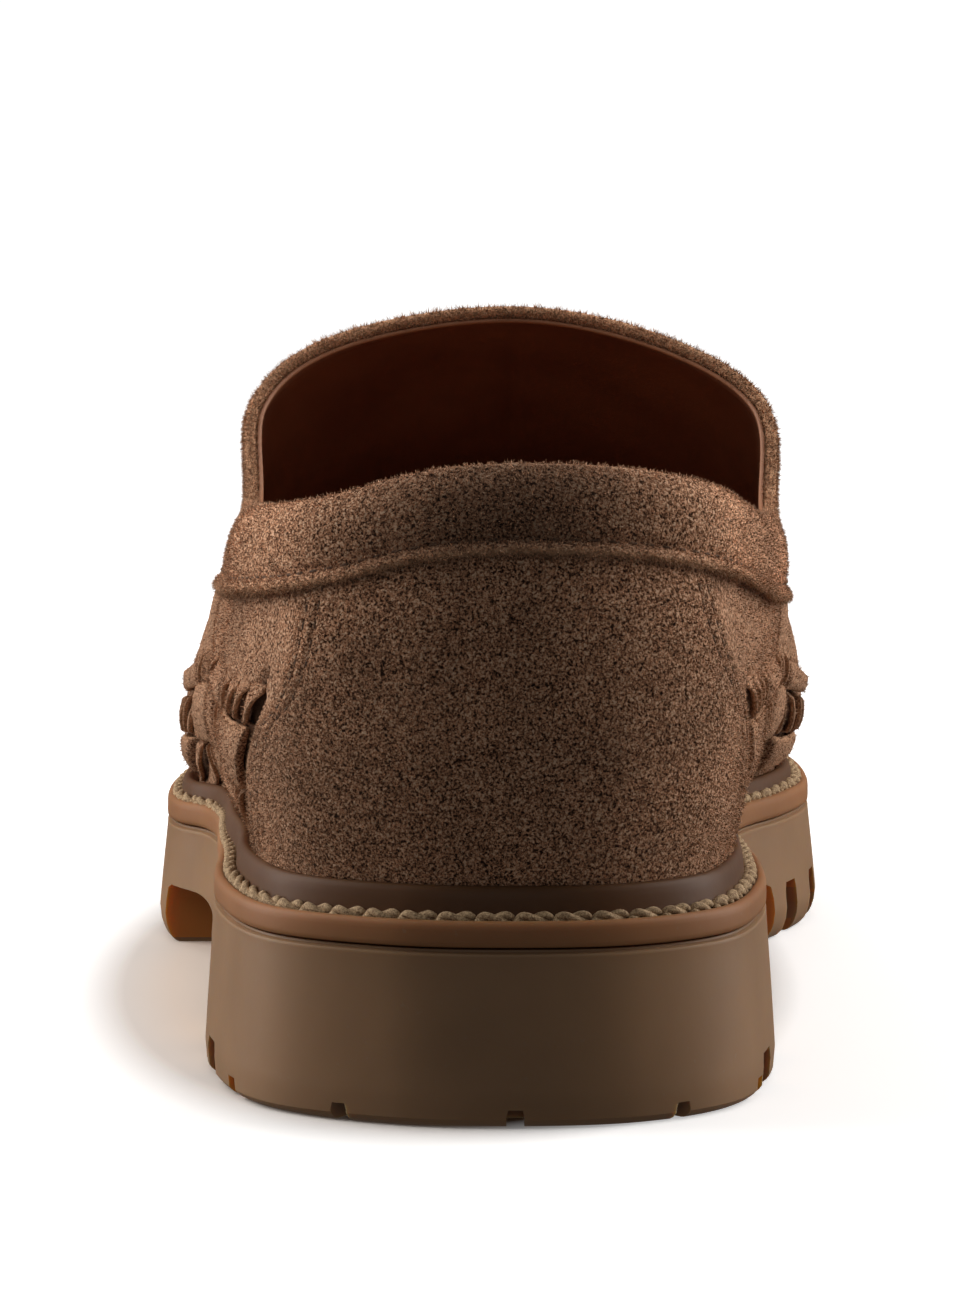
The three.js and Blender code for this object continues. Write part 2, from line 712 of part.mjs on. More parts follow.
// Heel counter: a panel from seam to seam, over the shell and under the collar band.
function makeCounter() {
  const columns = 9;
  const rowCount = counterRows.length - 1;
  const reach = 60;
  const bend = (u) => Math.acos(clamp(1 - (u - heelU) / reach, -1, 1));
  const faces = [counterGap, counterGap + counterThickness].map((out) => {
    const rows = [];
    for (let r = 0; r <= rowCount; r += 1) {
      const row = [];
      for (let c = -columns; c <= columns; c += 1) {
        const side = c < 0 ? -1 : 1;
        const seam = bend(table(seamRows, mix(35.5, 79, counterRows[r])));
        const u = heelU + reach * (1 - Math.cos((seam * Math.abs(c)) / columns));
        const top = toplineHeight(u, side) - collarDrop - 0.5;
        row.push(shellPoint(u, side, mix(rimTop(u) + 0.8, top, counterRows[r]), out));
      }
      rows.push(row);
    }
    return rows;
  });
  const loops = faces[0].map((row, r) => [...row, ...faces[1][r].slice().reverse()]);
  return stripBlock(loops);
}

// A block whose every row is a thin loop: out along one face and back along the other.
function stripBlock(loops) {
  const triangles = [];
  const half = loops[0].length / 2;
  const looped = loops.map((loop) => [...loop, loop[0]]);
  for (let i = 0; i < loops.length - 1; i += 1) {
    strip(triangles, looped[i], looped[i + 1], false);
  }
  for (const [loop, turned] of [[loops[0], false], [loops[loops.length - 1], true]]) {
    strip(triangles, loop.slice(0, half), loop.slice(half).reverse(), !turned);
  }
  const solid = solidOf(triangles);
  return solid.volume() < 0 ? solidOf(triangles.map(([a, b, c]) => [a, c, b])) : solid;
}

// Collar band: a cuff folded over the shell's top edge, from one throat corner round to the other.
function makeCollar() {
  const count = 14;
  const loops = [];
  for (let i = -count; i <= count; i += 1) {
    const side = i < 0 ? -1 : 1;
    const u = heelU + (collarEnd - heelU) * (1 - Math.cos((Math.PI * Math.abs(i)) / (2 * count)));
    const top = toplineHeight(u, side);
    const at = (drop, out) => {
      const p = shellPoint(u, side, top - Math.max(drop, 0), out);
      p.z += Math.max(-drop, 0);
      return p;
    };
    const inside = -wall - fit;
    const outer = [
      at(collarDrop, fit + 1.1), at(collarDrop / 2, fit + collarThickness + 0.4), at(-0.7, fit + 0.7),
      at(-1.3, -0.9), at(-0.8, inside - 0.5), at(collarLining, inside - 1.1)];
    const inner = [
      at(collarDrop, fit), at(collarDrop / 2, fit), at(-fit, fit), at(-fit, -0.9), at(-fit, inside),
      at(collarLining, inside)];
    loops.push([...outer, ...inner.reverse()]);
  }
  return stripBlock(loops);
}

// A point on the crown of the vamp at a given x, with the plug's rise, and its normal.
function vampPoint(u, x) {
  const side = x < foot(u, 1, 1).x ? -1 : 1;
  let low = 0.45;
  let high = 1;
  for (let i = 0; i < 30; i += 1) {
    const middle = (low + high) / 2;
    if (Math.abs(foot(u, side, middle).x - foot(u, side, 1).x) > Math.abs(x - foot(u, side, 1).x)) {
      low = middle;
    } else {
      high = middle;
    }
  }
  const normal = normalAt(u, side, low);
  return { spot: foot(u, side, low).addScaledVector(normal, relief(u, low)), normal };
}

// A solid swept over the vamp: rows of x, u, half width, half thickness and depth of its flutes.
function sweptOver(rows, points) {
  const ends = rows.map(([x, u]) => vampPoint(u, x));
  const sections = rows.map(([, , width, thick, flute], i) => {
    const before = ends[Math.max(i - 1, 0)].spot;
    const after = ends[Math.min(i + 1, rows.length - 1)].spot;
    const along = after.clone().sub(before).normalize();
    const across = new THREE.Vector3().crossVectors(along, ends[i].normal).normalize();
    const up = new THREE.Vector3().crossVectors(across, along).normalize();
    const centre = ends[i].spot.clone().addScaledVector(up, thick + fit + 0.15);
    return Array.from({ length: points }, (_, k) => {
      const angle = (2 * Math.PI * k) / points;
      const round = k % 2 ? 1 - flute : 1;
      return centre.clone().addScaledVector(across, width * round * Math.cos(angle))
        .addScaledVector(up, thick * round * Math.sin(angle));
    });
  });
  return tubeOf(sections, false);
}

function makeTassel(side) {
  const lean = (away) => 4 + side * away;
  return sweptOver([
    [lean(3.6), 163, 2.3, 1.9, 0], [lean(4.4), 165, 3.6, 2.8, 0], [lean(6.4), 171, 3.9, 3.0, 0],
    [lean(7.6), 175, 3.0, 2.4, 0], [lean(8.4), 178, 4.3, 2.8, 0.1], [lean(11), 187, 6.2, 3.0, 0.13],
    [lean(13.4), 197, 7.6, 3.0, 0.16]], 16);
}

function makeTie() {
  return sweptOver([
    [-6, 159.5, 1.4, 1.2, 0], [-3.5, 159.3, 2.6, 2.0, 0], [0, 159, 2.8, 2.2, 0], [2.2, 159, 2.2, 1.7, 0],
    [4, 159, 3.1, 2.6, 0], [5.8, 159, 2.2, 1.7, 0], [8, 159, 2.8, 2.2, 0], [11.5, 159.3, 2.6, 2.0, 0],
    [14, 159.5, 1.4, 1.2, 0]], 8);
}

const group = new THREE.Group();
group.add(meshOf(makeOutsole(), "outsole", rubber));
group.add(meshOf(makeWelt(), "welt", welting));
group.add(meshOf(makeInsole(), "insole", leather));
group.add(meshOf(makeUpper(), "upper", suede));
group.add(meshOf(makeCounter(), "heel_counter", darkSuede));
group.add(meshOf(makeCollar(), "collar_band", suede));
group.add(meshOf(makeTie(), "tassel_tie", darkSuede));
group.add(meshOf(makeTassel(-1), "tassel_lateral", suede));
group.add(meshOf(makeTassel(1), "tassel_medial", suede));

export default group;
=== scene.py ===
# A suede tassel loafer with a woven lower quarter on a lugged rubber unit, seen from behind.
import math

import bmesh
import bpy
import numpy as np
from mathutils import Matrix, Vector


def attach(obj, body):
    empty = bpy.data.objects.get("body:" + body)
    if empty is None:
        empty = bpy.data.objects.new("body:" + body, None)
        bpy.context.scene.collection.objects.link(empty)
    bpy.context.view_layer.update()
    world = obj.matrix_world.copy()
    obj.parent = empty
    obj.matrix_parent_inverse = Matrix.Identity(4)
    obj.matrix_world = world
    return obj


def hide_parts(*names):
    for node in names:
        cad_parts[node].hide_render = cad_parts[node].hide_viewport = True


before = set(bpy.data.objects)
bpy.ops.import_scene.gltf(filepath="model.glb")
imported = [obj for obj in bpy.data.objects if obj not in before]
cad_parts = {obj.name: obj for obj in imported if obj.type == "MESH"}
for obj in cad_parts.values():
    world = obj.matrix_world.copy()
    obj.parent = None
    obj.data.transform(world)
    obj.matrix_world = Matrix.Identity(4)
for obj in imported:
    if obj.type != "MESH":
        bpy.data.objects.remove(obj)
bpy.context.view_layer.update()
print("frame loaded")

# Sizes are in millimetres: x towards the big toe, u from the back of the heel, z from the floor.
origin = {"x": 0.9, "u": 149.0}

soleOutline = np.array([
    [4.4, 0], [22.5, 3.4], [36.3, 16.5], [42.0, 40], [42.8, 66], [40.8, 98], [39.8, 126], [40.8, 150],
    [45.4, 172], [52.2, 190], [57.2, 210], [56.6, 234], [50.0, 257], [37.5, 278], [22.0, 291.5],
    [5.0, 298], [-12.0, 295], [-28.5, 284], [-41.5, 266], [-50.2, 244], [-55.0, 216], [-55.4, 192],
    [-53.0, 177.5], [-47.8, 166], [-44.8, 146], [-43.6, 118], [-41.9, 80], [-40.6, 46], [-32.5, 17],
    [-14.5, 3.2]])

lastForm = {
    "lipTop": [[0, 30.0], [70, 30.0], [100, 29.2], [130, 27.4], [160, 25.7], [190, 24.8], [215, 24.6],
               [240, 25.6], [270, 28.4], [298, 32.5]],               # u, height of the lip
    "underside": [[0, 0], [228, 0], [245, 0.9], [265, 3.6], [283, 7.4], [298, 11.5]],
    "rim": [[0, 4.6], [100, 4.4], [150, 3.6], [200, 3.0], [298, 3.0]],  # u, rim over the lip
    # u, distance of the upper's foot from the lip's edge
    "inset": [[0, 6.5], [60, 6.4], [100, 4.4], [150, 4.2], [190, 5.4], [230, 6.2], [298, 6.5]],
    "levels": [0, 0.16, 0.36, 0.58, 0.8, 0.94, 1],               # heights of a section's seven widths
    # u, x of the ridge, ridge height over the rim, five lateral and five medial widths
    "sections": [
        [22, 4.4, 82, 29.5, 30.0, 27.8, 26.0, 17.0, 34.0, 35.0, 33.3, 31.5, 22.0],
        [40, 4.0, 82, 35.8, 36.6, 34.2, 31.5, 21.0, 38.3, 39.8, 38.3, 36.5, 26.0],
        [75, 3.6, 82, 40.0, 41.0, 36.2, 32.5, 21.5, 42.0, 44.8, 43.6, 41.0, 28.0],
        [105, 4.0, 82, 42.8, 43.2, 38.6, 36.8, 24.0, 44.0, 46.8, 46.6, 45.0, 29.0],
        [135, 4.0, 81.5, 44.6, 43.8, 39.8, 38.6, 23.8, 44.6, 46.8, 48.0, 46.2, 28.5],
        [160, 4.0, 75.5, 47.6, 47.0, 42.2, 33.6, 19.0, 47.2, 50.5, 49.2, 40.5, 23.0],
        [185, 4.0, 64.5, 51.6, 49.2, 42.2, 30.6, 17.0, 52.4, 53.4, 48.4, 36.0, 20.0],
        [205, 4.5, 55.5, 52.4, 50.2, 42.5, 29.0, 15.5, 55.4, 54.6, 47.8, 34.0, 19.0],
        [230, 6.0, 46.5, 49.3, 46.5, 38.5, 26.0, 12.5, 53.5, 52.0, 45.0, 32.5, 19.5],
        [258, 7.5, 40.5, 41.0, 38.5, 31.5, 20.0, 8.0, 47.0, 45.5, 39.0, 28.5, 18.5]],
    # height over the rim, how far the back leans forwards
    "backLean": [[0, 0], [12, -2.6], [24, -3.8], [38, -3.2], [50, -1.0], [64, 3.0], [90, 12.0]],
    # distance from the heel's back, lateral and medial height of the top edge
    "topline": [[0, 94.7, 94.7], [9, 94.1, 94.4], [17, 92.6, 93.6], [25, 90.3, 92.1], [35, 88.1, 89.7],
                [50, 85.9, 85.9], [75, 83.3, 81.7], [100, 82.3, 80.5], [140, 82.3, 80.5]],
    "heelX": 4.4,
    "waist": 100.0,
    "toeStart": 240.0,
    "tipReach": 30.0,
    "backReach": 80.0,
    "throatStart": 96.0,
    "throatEnd": 137.0,
    "throatBlunt": 0.55,
    "plugStart": 128.0,
    "plugEnd": 270.0,
    "plugShare": 0.62,
    "wall": 2.0,
    "lipBand": 4.0,
    "footbed": 5.4,
}


# Smooth step from 0 to 1.
def smooth(value):
    share = np.clip(value, 0, 1)
    return share * share * (3 - 2 * share)


def mix(a, b, share):
    return a + (b - a) * share


def unit(vectors):
    return vectors / np.maximum(np.linalg.norm(vectors, axis=-1, keepdims=True), 1e-9)


# Monotone cubic through the rows of a table, for a whole array of places at once.
def table(rows, at, column=1):
    rows = np.asarray(rows, float)
    x, y = rows[:, 0], rows[:, column]
    step = np.diff(x)
    rise = np.diff(y) / step
    slope = np.empty_like(y)
    slope[0], slope[-1] = rise[0], rise[-1]
    first, second = 2 * step[1:] + step[:-1], step[1:] + 2 * step[:-1]
    turning = rise[:-1] * rise[1:] <= 0
    safe = np.where(turning, 1.0, rise[:-1]), np.where(turning, 1.0, rise[1:])
    slope[1:-1] = np.where(turning, 0, (first + second) / (first / safe[0] + second / safe[1]))
    at = np.clip(np.asarray(at, float), x[0], x[-1])
    i = np.clip(np.searchsorted(x, at, side="right") - 1, 0, len(x) - 2)
    h = step[i]
    t = (at - x[i]) / h
    return ((1 + 2 * t) * (1 - t) ** 2 * y[i] + t * (1 - t) ** 2 * h * slope[i]
            + t * t * (3 - 2 * t) * y[i + 1] + t * t * (t - 1) * h * slope[i + 1])


# Catmull-Rom value between b and c at share f.
def cubic(a, b, c, d, f):
    square, cube = 2 * a - 5 * b + 4 * c - d, 3 * b - a - 3 * c + d
    return 0.5 * (2 * b + (c - a) * f + square * f ** 2 + cube * f ** 3)


def together(*values):
    return np.broadcast_arrays(*(np.asarray(value, float) for value in values))


# Catmull-Rom curve through the outline's points, spread evenly along its length.
def closedSpline(points, count):
    around = [np.roll(points, 1 - k, axis=0)[:, None, :] for k in range(4)]
    fine = cubic(*around, (np.arange(24) / 24)[None, :, None]).reshape(-1, 2)
    fine = np.vstack([fine, fine[:1]])
    run = np.concatenate([[0], np.cumsum(np.linalg.norm(np.diff(fine, axis=0), axis=1))])
    target = run[-1] * np.arange(count) / count
    return np.stack([np.interp(target, run, fine[:, axis]) for axis in (0, 1)], 1)


def inwardNormals(loop):
    along = unit(np.roll(loop, -1, axis=0) - np.roll(loop, 1, axis=0))
    return np.stack([-along[:, 1], along[:, 0]], 1)


outline = closedSpline(soleOutline, 720)
outlineIn = inwardNormals(outline)
feather = outline + table(lastForm["inset"], outline[:, 1])[:, None] * outlineIn


# Indices of a loop's lateral and medial sides, each from its back to its front.
def sidesOf(loop):
    count = len(loop)
    back, front = loop[:, 1].argmin(), loop[:, 1].argmax()
    medial = (back + np.arange((front - back) % count + 1)) % count
    lateral = (back - np.arange((back - front) % count + 1)) % count
    return {-1: lateral, 1: medial}


outlineSides = sidesOf(outline)
featherSides = sidesOf(feather)
heelU, toeU = feather[:, 1].min(), feather[:, 1].max()
heelTipX = feather[feather[:, 1].argmin(), 0]
toeTipX = feather[feather[:, 1].argmax(), 0]


# x of the line where the upper meets the welt, at a station on one side.
def featherX(u, side):
    lateral, medial = (feather[featherSides[k]] for k in (-1, 1))
    return np.where(side < 0, np.interp(u, lateral[:, 1], lateral[:, 0]),
                    np.interp(u, medial[:, 1], medial[:, 0]))


# The sections' widths as shares of the way from the ridge to the upper's foot on their side.
def sectionShares():
    rows = np.array(lastForm["sections"], float)
    ridge = rows[:, 1:2]
    lateral = np.abs(featherX(rows[:, 0], -1)[:, None] - ridge)
    medial = np.abs(featherX(rows[:, 0], 1)[:, None] - ridge)
    rows[:, 3:8] = (rows[:, 3:8] + ridge) / lateral
    rows[:, 8:13] = (rows[:, 8:13] - ridge) / medial
    return rows


shareRows = sectionShares()


def lipTop(u):
    return table(lastForm["lipTop"], u)


def rimTop(u):
    return lipTop(u) + table(lastForm["rim"], u)


def baseHeight(u):
    return lipTop(u) - lastForm["lipBand"] + 0.15


# A point of the last: station u, side -1 lateral or 1 medial, share 0 at the rim to 1 on the ridge. Its
# section is a Catmull-Rom curve through the widths at their levels, pulled to a tip at the heel and rounded
# down at the toe.
def lastPoint(u, side, share):
    u, side, t = together(u, side, np.clip(share, 0, 1))
    start = lastForm["toeStart"]
    heelwards = u < lastForm["waist"]
    nearTip = np.where(heelwards, 1 - (u - heelU) / lastForm["tipReach"], (u - start) / (toeU - start))
    pull = np.clip(nearTip, 0, 1) ** 2
    ridgeX = mix(table(shareRows, u, 1), np.where(heelwards, heelTipX, toeTipX), pull)
    toe = np.clip((u - start) / (toeU - start), 0, 1)
    high = table(shareRows, u, 2) * np.sqrt(np.maximum(1 - toe ** 2.8, 0))
    half = featherX(u, side) - ridgeX
    widths = [np.where(side < 0, table(shareRows, u, 3 + k), table(shareRows, u, 8 + k)) for k in range(5)]
    wide = np.stack([2 - widths[0], np.ones_like(u), *widths, np.zeros_like(u), -widths[4]], -1)
    levels = lastForm["levels"]
    tall = np.array([-levels[1], *levels, levels[5]])
    at = np.minimum(np.floor(t * 6).astype(int), 5)
    f = t * 6 - at
    x = cubic(*(np.take_along_axis(wide, (at + k)[..., None], -1)[..., 0] for k in range(4)), f)
    z = high * cubic(*(tall[at + k] for k in range(4)), f)
    back = np.clip(1 - (u - heelU) / lastForm["backReach"], 0, 1) ** 2
    leaned = u + back * table(lastForm["backLean"], np.maximum(z, 0))
    return np.stack([ridgeX + half * x, leaned, rimTop(u) + z], -1)


# A station as an angle share, so that steps near the tips of the last stay even.
def turnOf(u):
    return np.arccos(np.clip(1 - 2 * (u - heelU) / (toeU - heelU), -1, 1)) / math.pi


# The last at an angle share; past a tip or over the ridge it carries on down the other side.
def lastAtTurn(a, side, t):
    over, behind = t > 1, a < 0
    u = heelU + (toeU - heelU) * (1 - np.cos(math.pi * np.abs(a))) / 2
    return lastPoint(u, np.where(over ^ behind, -side, side), np.where(over, 2 - t, t))


# Outward normal of the last: the cross product of a small step forwards and a small step upwards.
def lastNormal(u, side, share):
    u, side, t = together(u, side, share)
    a = np.clip(turnOf(u), 0, 0.992)
    along = lastAtTurn(a + 0.002, side, t) - lastAtTurn(a - 0.002, side, t)
    up = lastAtTurn(a, side, t + 0.004) - lastAtTurn(a, side, np.maximum(t - 0.004, 0))
    return unit(np.cross(along, up) * side[..., None])


# A point at a distance out from the last, along its normal.
def shellAt(u, side, share, out):
    return lastPoint(u, side, share) + lastNormal(u, side, share) * np.asarray(out, float)[..., None]


# Share of the section whose height is the one asked for, by halving.
def shareAtHeight(u, side, height):
    u, side, height = together(u, side, height)
    low, high = np.zeros_like(u), np.full_like(u, 0.9)
    for _ in range(26):
        middle = (low + high) / 2
        below = lastPoint(u, side, middle)[..., 2] < height
        low, high = np.where(below, middle, low), np.where(below, high, middle)
    return low


# Height of the shell's top edge, by the distance of its foot from the heel's back.
def toplineHeight(u, side):
    reach = np.hypot(featherX(u, side) - lastForm["heelX"], u - heelU)
    rows = lastForm["topline"]
    return np.where(side < 0, table(rows, reach, 1), table(rows, reach, 2))


# Share where the shell ends: at the topline, then along the throat's blunt arch, then on the ridge.
def topShare(u, side):
    station = np.minimum(u, lastForm["throatStart"])
    opened = shareAtHeight(station, side, toplineHeight(station, side))
    q = np.clip((u - lastForm["throatStart"]) / (lastForm["throatEnd"] - lastForm["throatStart"]), 0, 1)
    arch = np.sqrt(np.maximum(1 - q * q, 0))
    blunt = lastForm["throatBlunt"]
    return 1 - (1 - opened) * arch * (blunt + (1 - blunt) * arch * arch)


# Share where the plug's seam runs: level along the sides, rising to the ridge at the plug's tip.
def plugLine(u):
    q = np.clip((u - lastForm["plugStart"]) / (lastForm["plugEnd"] - lastForm["plugStart"]), 0, 1)
    return 1 - (1 - lastForm["plugShare"]) * np.sqrt(np.maximum(1 - q ** 2.6, 0))


# Lattice noise from -1 to 1: hashed corner values of a grid of the given size, mixed smoothly.
def latticeNoise(points, size, seed):
    place = np.asarray(points) / size + 1000.0
    cell = np.floor(place).astype(np.int64)
    f = place - cell
    f = f * f * (3 - 2 * f)
    total = np.zeros(place.shape[:-1])
    for corner in range(8):
        step = np.array([corner & 1, corner >> 1 & 1, corner >> 2 & 1])
        x, y, z = np.moveaxis(cell + step, -1, 0)
        mixed = (x * 73856093) ^ (y * 19349663) ^ (z * 83492791) ^ (seed * 2654435)
        mixed = (mixed ^ (mixed >> 13)) * 1274126177 & 0x7FFFFFFF
        value = (mixed % 100003) / 50001.5 - 1
        weight = np.prod(np.where(step, f, 1 - f), axis=-1)
        total += value * weight
    return total


# From the shoe's millimetres to the frame's metres, and back for a flat list of a mesh's numbers.
def toFrame(points):
    moved = np.asarray(points, float).reshape(-1, 3) - [origin["x"], origin["u"], 0]
    return moved / 1000


def fromFrame(numbers):
    return numbers.reshape(-1, 3).astype(float) * 1000 + [origin["x"], origin["u"], 0]


# Quads between neighbours of a grid of points, wrapped round where asked, as an index array.
def gridFaces(rows, columns, wrapRows=False, wrapColumns=False, start=0):
    i = np.arange(rows if wrapRows else rows - 1)
    j = np.arange(columns if wrapColumns else columns - 1)
    a, b = np.meshgrid(i, j, indexing="ij")
    nextA, nextB = (a + 1) % rows, (b + 1) % columns
    corners = [a * columns + b, a * columns + nextB, nextA * columns + nextB, nextA * columns + b]
    return np.stack(corners, -1).reshape(-1, 4) + start


# Doubles closer than a distance merged, and all faces turned outwards.
def mergeAndTurn(mesh, weld):
    rebuilt = bmesh.new()
    rebuilt.from_mesh(mesh)
    if weld:
        bmesh.ops.remove_doubles(rebuilt, verts=rebuilt.verts, dist=weld)
        bmesh.ops.dissolve_degenerate(rebuilt, edges=rebuilt.edges, dist=1e-7)
    bmesh.ops.recalc_face_normals(rebuilt, faces=rebuilt.faces)
    rebuilt.to_mesh(mesh)
    rebuilt.free()


# A smooth shaded object from points in millimetres, faces of one size, and values for each point.
def meshPiece(name, points, faces, material, attributes=None, weld=0.0, turned=True):
    mesh = bpy.data.meshes.new(name)
    vertices = toFrame(points).astype(np.float32)
    faces = np.asarray(faces, np.int32)
    corners = faces.shape[1]
    mesh.vertices.add(len(vertices))
    mesh.vertices.foreach_set("co", vertices.ravel())
    mesh.loops.add(faces.size)
    mesh.loops.foreach_set("vertex_index", faces.ravel())
    mesh.polygons.add(len(faces))
    mesh.polygons.foreach_set("loop_start", np.arange(0, faces.size, corners, dtype=np.int32))
    mesh.update(calc_edges=True)
    for key, values in (attributes or {}).items():
        flat = np.asarray(values, np.float32).ravel()
        mesh.attributes.new(key, "FLOAT", "POINT").data.foreach_set("value", flat)
    if turned:
        mergeAndTurn(mesh, weld)
    mesh.validate()
    mesh.polygons.foreach_set("use_smooth", np.ones(len(mesh.polygons), bool))
    mesh.materials.append(material)
    piece = bpy.data.objects.new(name, mesh)
    bpy.context.scene.collection.objects.link(piece)
    return piece


# Faces of one closed tube: its wall, and a strip of quads over each end.
def tubeFaces(stations, section):
    k = np.arange(section // 2 - 1)
    cap = np.stack([k, k + 1, section - 2 - k, section - 1 - k], -1)
    return np.vstack([gridFaces(stations, section, wrapColumns=True), cap[:, ::-1],
                      cap + (stations - 1) * section])


# Closed tubes from an array of tubes x stations x section points.
def tubesPiece(name, loops, material, attributes=None):
    tubes, stations, section = loops.shape[:3]
    starts = (np.arange(tubes) * stations * section)[:, None, None]
    faces = (tubeFaces(stations, section)[None] + starts).reshape(-1, 4)
    return meshPiece(name, loops.reshape(-1, 3), faces, material, attributes)


# Circles round places: across times the cosine plus up times the sine, times a radius for each point.
def circlesAt(places, across, up, radius, count):
    ring = 2 * math.pi * np.arange(count)[:, None] / count
    turned = across[..., None, :] * np.cos(ring) + up[..., None, :] * np.sin(ring)
    return places[..., None, :] + radius * turned


# Rounded rectangle as across and out values from -1 to 1, the first and last points beside each other.
def roundedSection(count, square=0.45):
    angle = 2 * math.pi * (np.arange(count) + 0.5) / count
    across = np.sign(np.cos(angle)) * np.abs(np.cos(angle)) ** square
    out = np.sign(np.sin(angle)) * np.abs(np.sin(angle)) ** square
    return across, out


# Points of a line spread evenly along its length, with the values that go with it.
def evenly(line, count, *others):
    run = np.concatenate([[0], np.cumsum(np.linalg.norm(np.diff(line, axis=0), axis=1))])
    target = np.linspace(0, run[-1], count)
    outs = [np.stack([np.interp(target, run, part[:, axis]) for axis in range(part.shape[1])], 1)
            for part in (line, *others)]
    return (run[-1], *outs)


# Values of evenly spread rows at shares of their whole run.
def valuesAlong(where, rows):
    grid = np.linspace(0, 1, len(rows))
    return np.stack([np.interp(where, grid, rows[:, axis]) for axis in range(rows.shape[1])], -1)


print("last worked out")


def addNode(tree, kind, inputs=None, **settings):
    made = tree.nodes.new(kind)
    for key, value in settings.items():
        setattr(made, key, value)
    for key, value in (inputs or {}).items():
        if isinstance(value, bpy.types.NodeSocket):
            tree.links.new(value, made.inputs[key])
        else:
            made.inputs[key].default_value = value
    return made


def noiseOf(tree, coords, scale, detail=2.0, roughness=0.5, distortion=0.0):
    inputs = {"Vector": coords, "Scale": scale, "Detail": detail, "Roughness": roughness,
              "Distortion": distortion}
    return addNode(tree, "ShaderNodeTexNoise", inputs).outputs[0]


def mathOf(tree, operation, first, second):
    return addNode(tree, "ShaderNodeMath", {0: first, 1: second}, operation=operation).outputs[0]


def times(tree, first, second):
    return mathOf(tree, "MULTIPLY", first, second)


def plus(tree, first, second):
    return mathOf(tree, "ADD", first, second)


def rangeOf(tree, value, low, high, toLow=0.0, toHigh=1.0):
    inputs = {"Value": value, "From Min": low, "From Max": high, "To Min": toLow, "To Max": toHigh}
    return addNode(tree, "ShaderNodeMapRange", inputs).outputs[0]


def mixColour(tree, factor, first, second, blend="MIX"):
    inputs = {0: factor, 6: first, 7: second}
    return addNode(tree, "ShaderNodeMix", inputs, data_type="RGBA", blend_type=blend).outputs[2]


def grey(tree, value):
    return addNode(tree, "ShaderNodeCombineColor", {0: value, 1: value, 2: value}).outputs[0]


def attributeOf(tree, name):
    return addNode(tree, "ShaderNodeAttribute", attribute_name=name).outputs["Fac"]


def bumpOf(tree, shader, strength, distance, height):
    bump = addNode(tree, "ShaderNodeBump", {"Strength": strength, "Distance": distance, "Height": height})
    tree.links.new(bump.outputs[0], shader.inputs["Normal"])


def newMaterial(name):
    material = bpy.data.materials.new(name)
    material.use_nodes = True
    tree = material.node_tree
    tree.nodes.clear()
    shader = addNode(tree, "ShaderNodeBsdfPrincipled")
    addNode(tree, "ShaderNodeOutputMaterial", {"Surface": shader.outputs[0]})
    coords = addNode(tree, "ShaderNodeTexCoord").outputs["Object"]
    return material, tree, shader, coords


# A colour as it looks on screen, 0 to 255, as the shader's linear values.
def linear(red, green, blue):
    parts = [c / 255 for c in (red, green, blue)]
    return tuple(c / 12.92 if c <= 0.04045 else ((c + 0.055) / 1.055) ** 2.4 for c in parts) + (1.0,)


suedeLook = {
    "pit": linear(40, 20, 13),
    "nap": linear(214, 154, 116),
    "tip": linear(252, 219, 186),
    "raw": linear(226, 176, 136),
    # painted shade colour for the hollows of the weave
    "hollowShade": linear(52, 24, 14),
    "grainScale": 2500.0,
    "curlScale": 1650.0,
    "cloudScale": 52.0,
    "patchScale": 17.0,
    "grainShare": 0.72,
    "body": (0.425, 0.525),
    "tips": (0.525, 0.59),
    "tipStrength": 0.75,
    "rawStrength": 0.55,
    "bumpDistance": 0.00042,
}


# Suede: a fine speckle of pits and tips over soft brushed clouds, paler on raw edges, painted dark as shade
# in the hollows.
# Attributes: tone lightens or darkens it, by chance on the nap and as painted light and shade on the collar,
# counter, tassel strands and the moc seam's trough; raw is a cut edge; hollow paints deep shade between
# straps.
def makeSuede(name, look, tone=1.0):
    material, tree, shader, coords = newMaterial(name)
    grain = noiseOf(tree, coords, look["grainScale"], 3.0, 0.65, 0.5)
    curl = noiseOf(tree, coords, look["curlScale"], 3.0, 0.6, 1.4)
    cloud = noiseOf(tree, coords, look["cloudScale"], 3.0, 0.55, 0.6)
    patch = noiseOf(tree, coords, look["patchScale"], 2.0, 0.5, 0.3)
    share = look["grainShare"]
    fibre = plus(tree, times(tree, grain, share), times(tree, curl, 1 - share))
    body, tips = (rangeOf(tree, fibre, *look[part]) for part in ("body", "tips"))
    colour = mixColour(tree, body, look["pit"], look["nap"])
    colour = mixColour(tree, times(tree, tips, look["tipStrength"]), colour, look["tip"])
    clouds, patches = rangeOf(tree, cloud, 0.3, 0.7, 0.8, 1.14), rangeOf(tree, patch, 0.3, 0.7, -0.13, 0.13)
    toned = times(tree, plus(tree, clouds, patches), plus(tree, attributeOf(tree, "tone"), tone))
    colour = mixColour(tree, 1.0, colour, grey(tree, toned), "MULTIPLY")
    colour = mixColour(tree, times(tree, attributeOf(tree, "raw"), look["rawStrength"]), colour, look["raw"])
    # Painted shade: mixed towards the dark hollow colour where the weave lies in shade.
    colour = mixColour(tree, attributeOf(tree, "hollowShade"), colour, look["hollowShade"])
    tree.links.new(colour, shader.inputs["Base Color"])
    bumpOf(tree, shader, 0.9, look["bumpDistance"], fibre)
    shader.inputs["Roughness"].default_value = 0.95
    shader.inputs["Specular IOR Level"].default_value = 0.12
    shader.inputs["Sheen Weight"].default_value = 0.45
    shader.inputs["Sheen Roughness"].default_value = 0.4
    shader.inputs["Sheen Tint"].default_value = linear(232, 188, 152)
    return material


rubberLook = {
    "body": linear(150, 116, 86),
    "warm": linear(156, 104, 66),
    # painted glow colour for light shining through the rubber in the notches
    "paintedGlow": linear(210, 132, 66),
    # painted shade colour for the welt's ledge and rim
    "deep": linear(56, 36, 22),
    "dust": linear(150, 132, 112),
    "roughness": 0.48,
    "specular": 0.16,
}
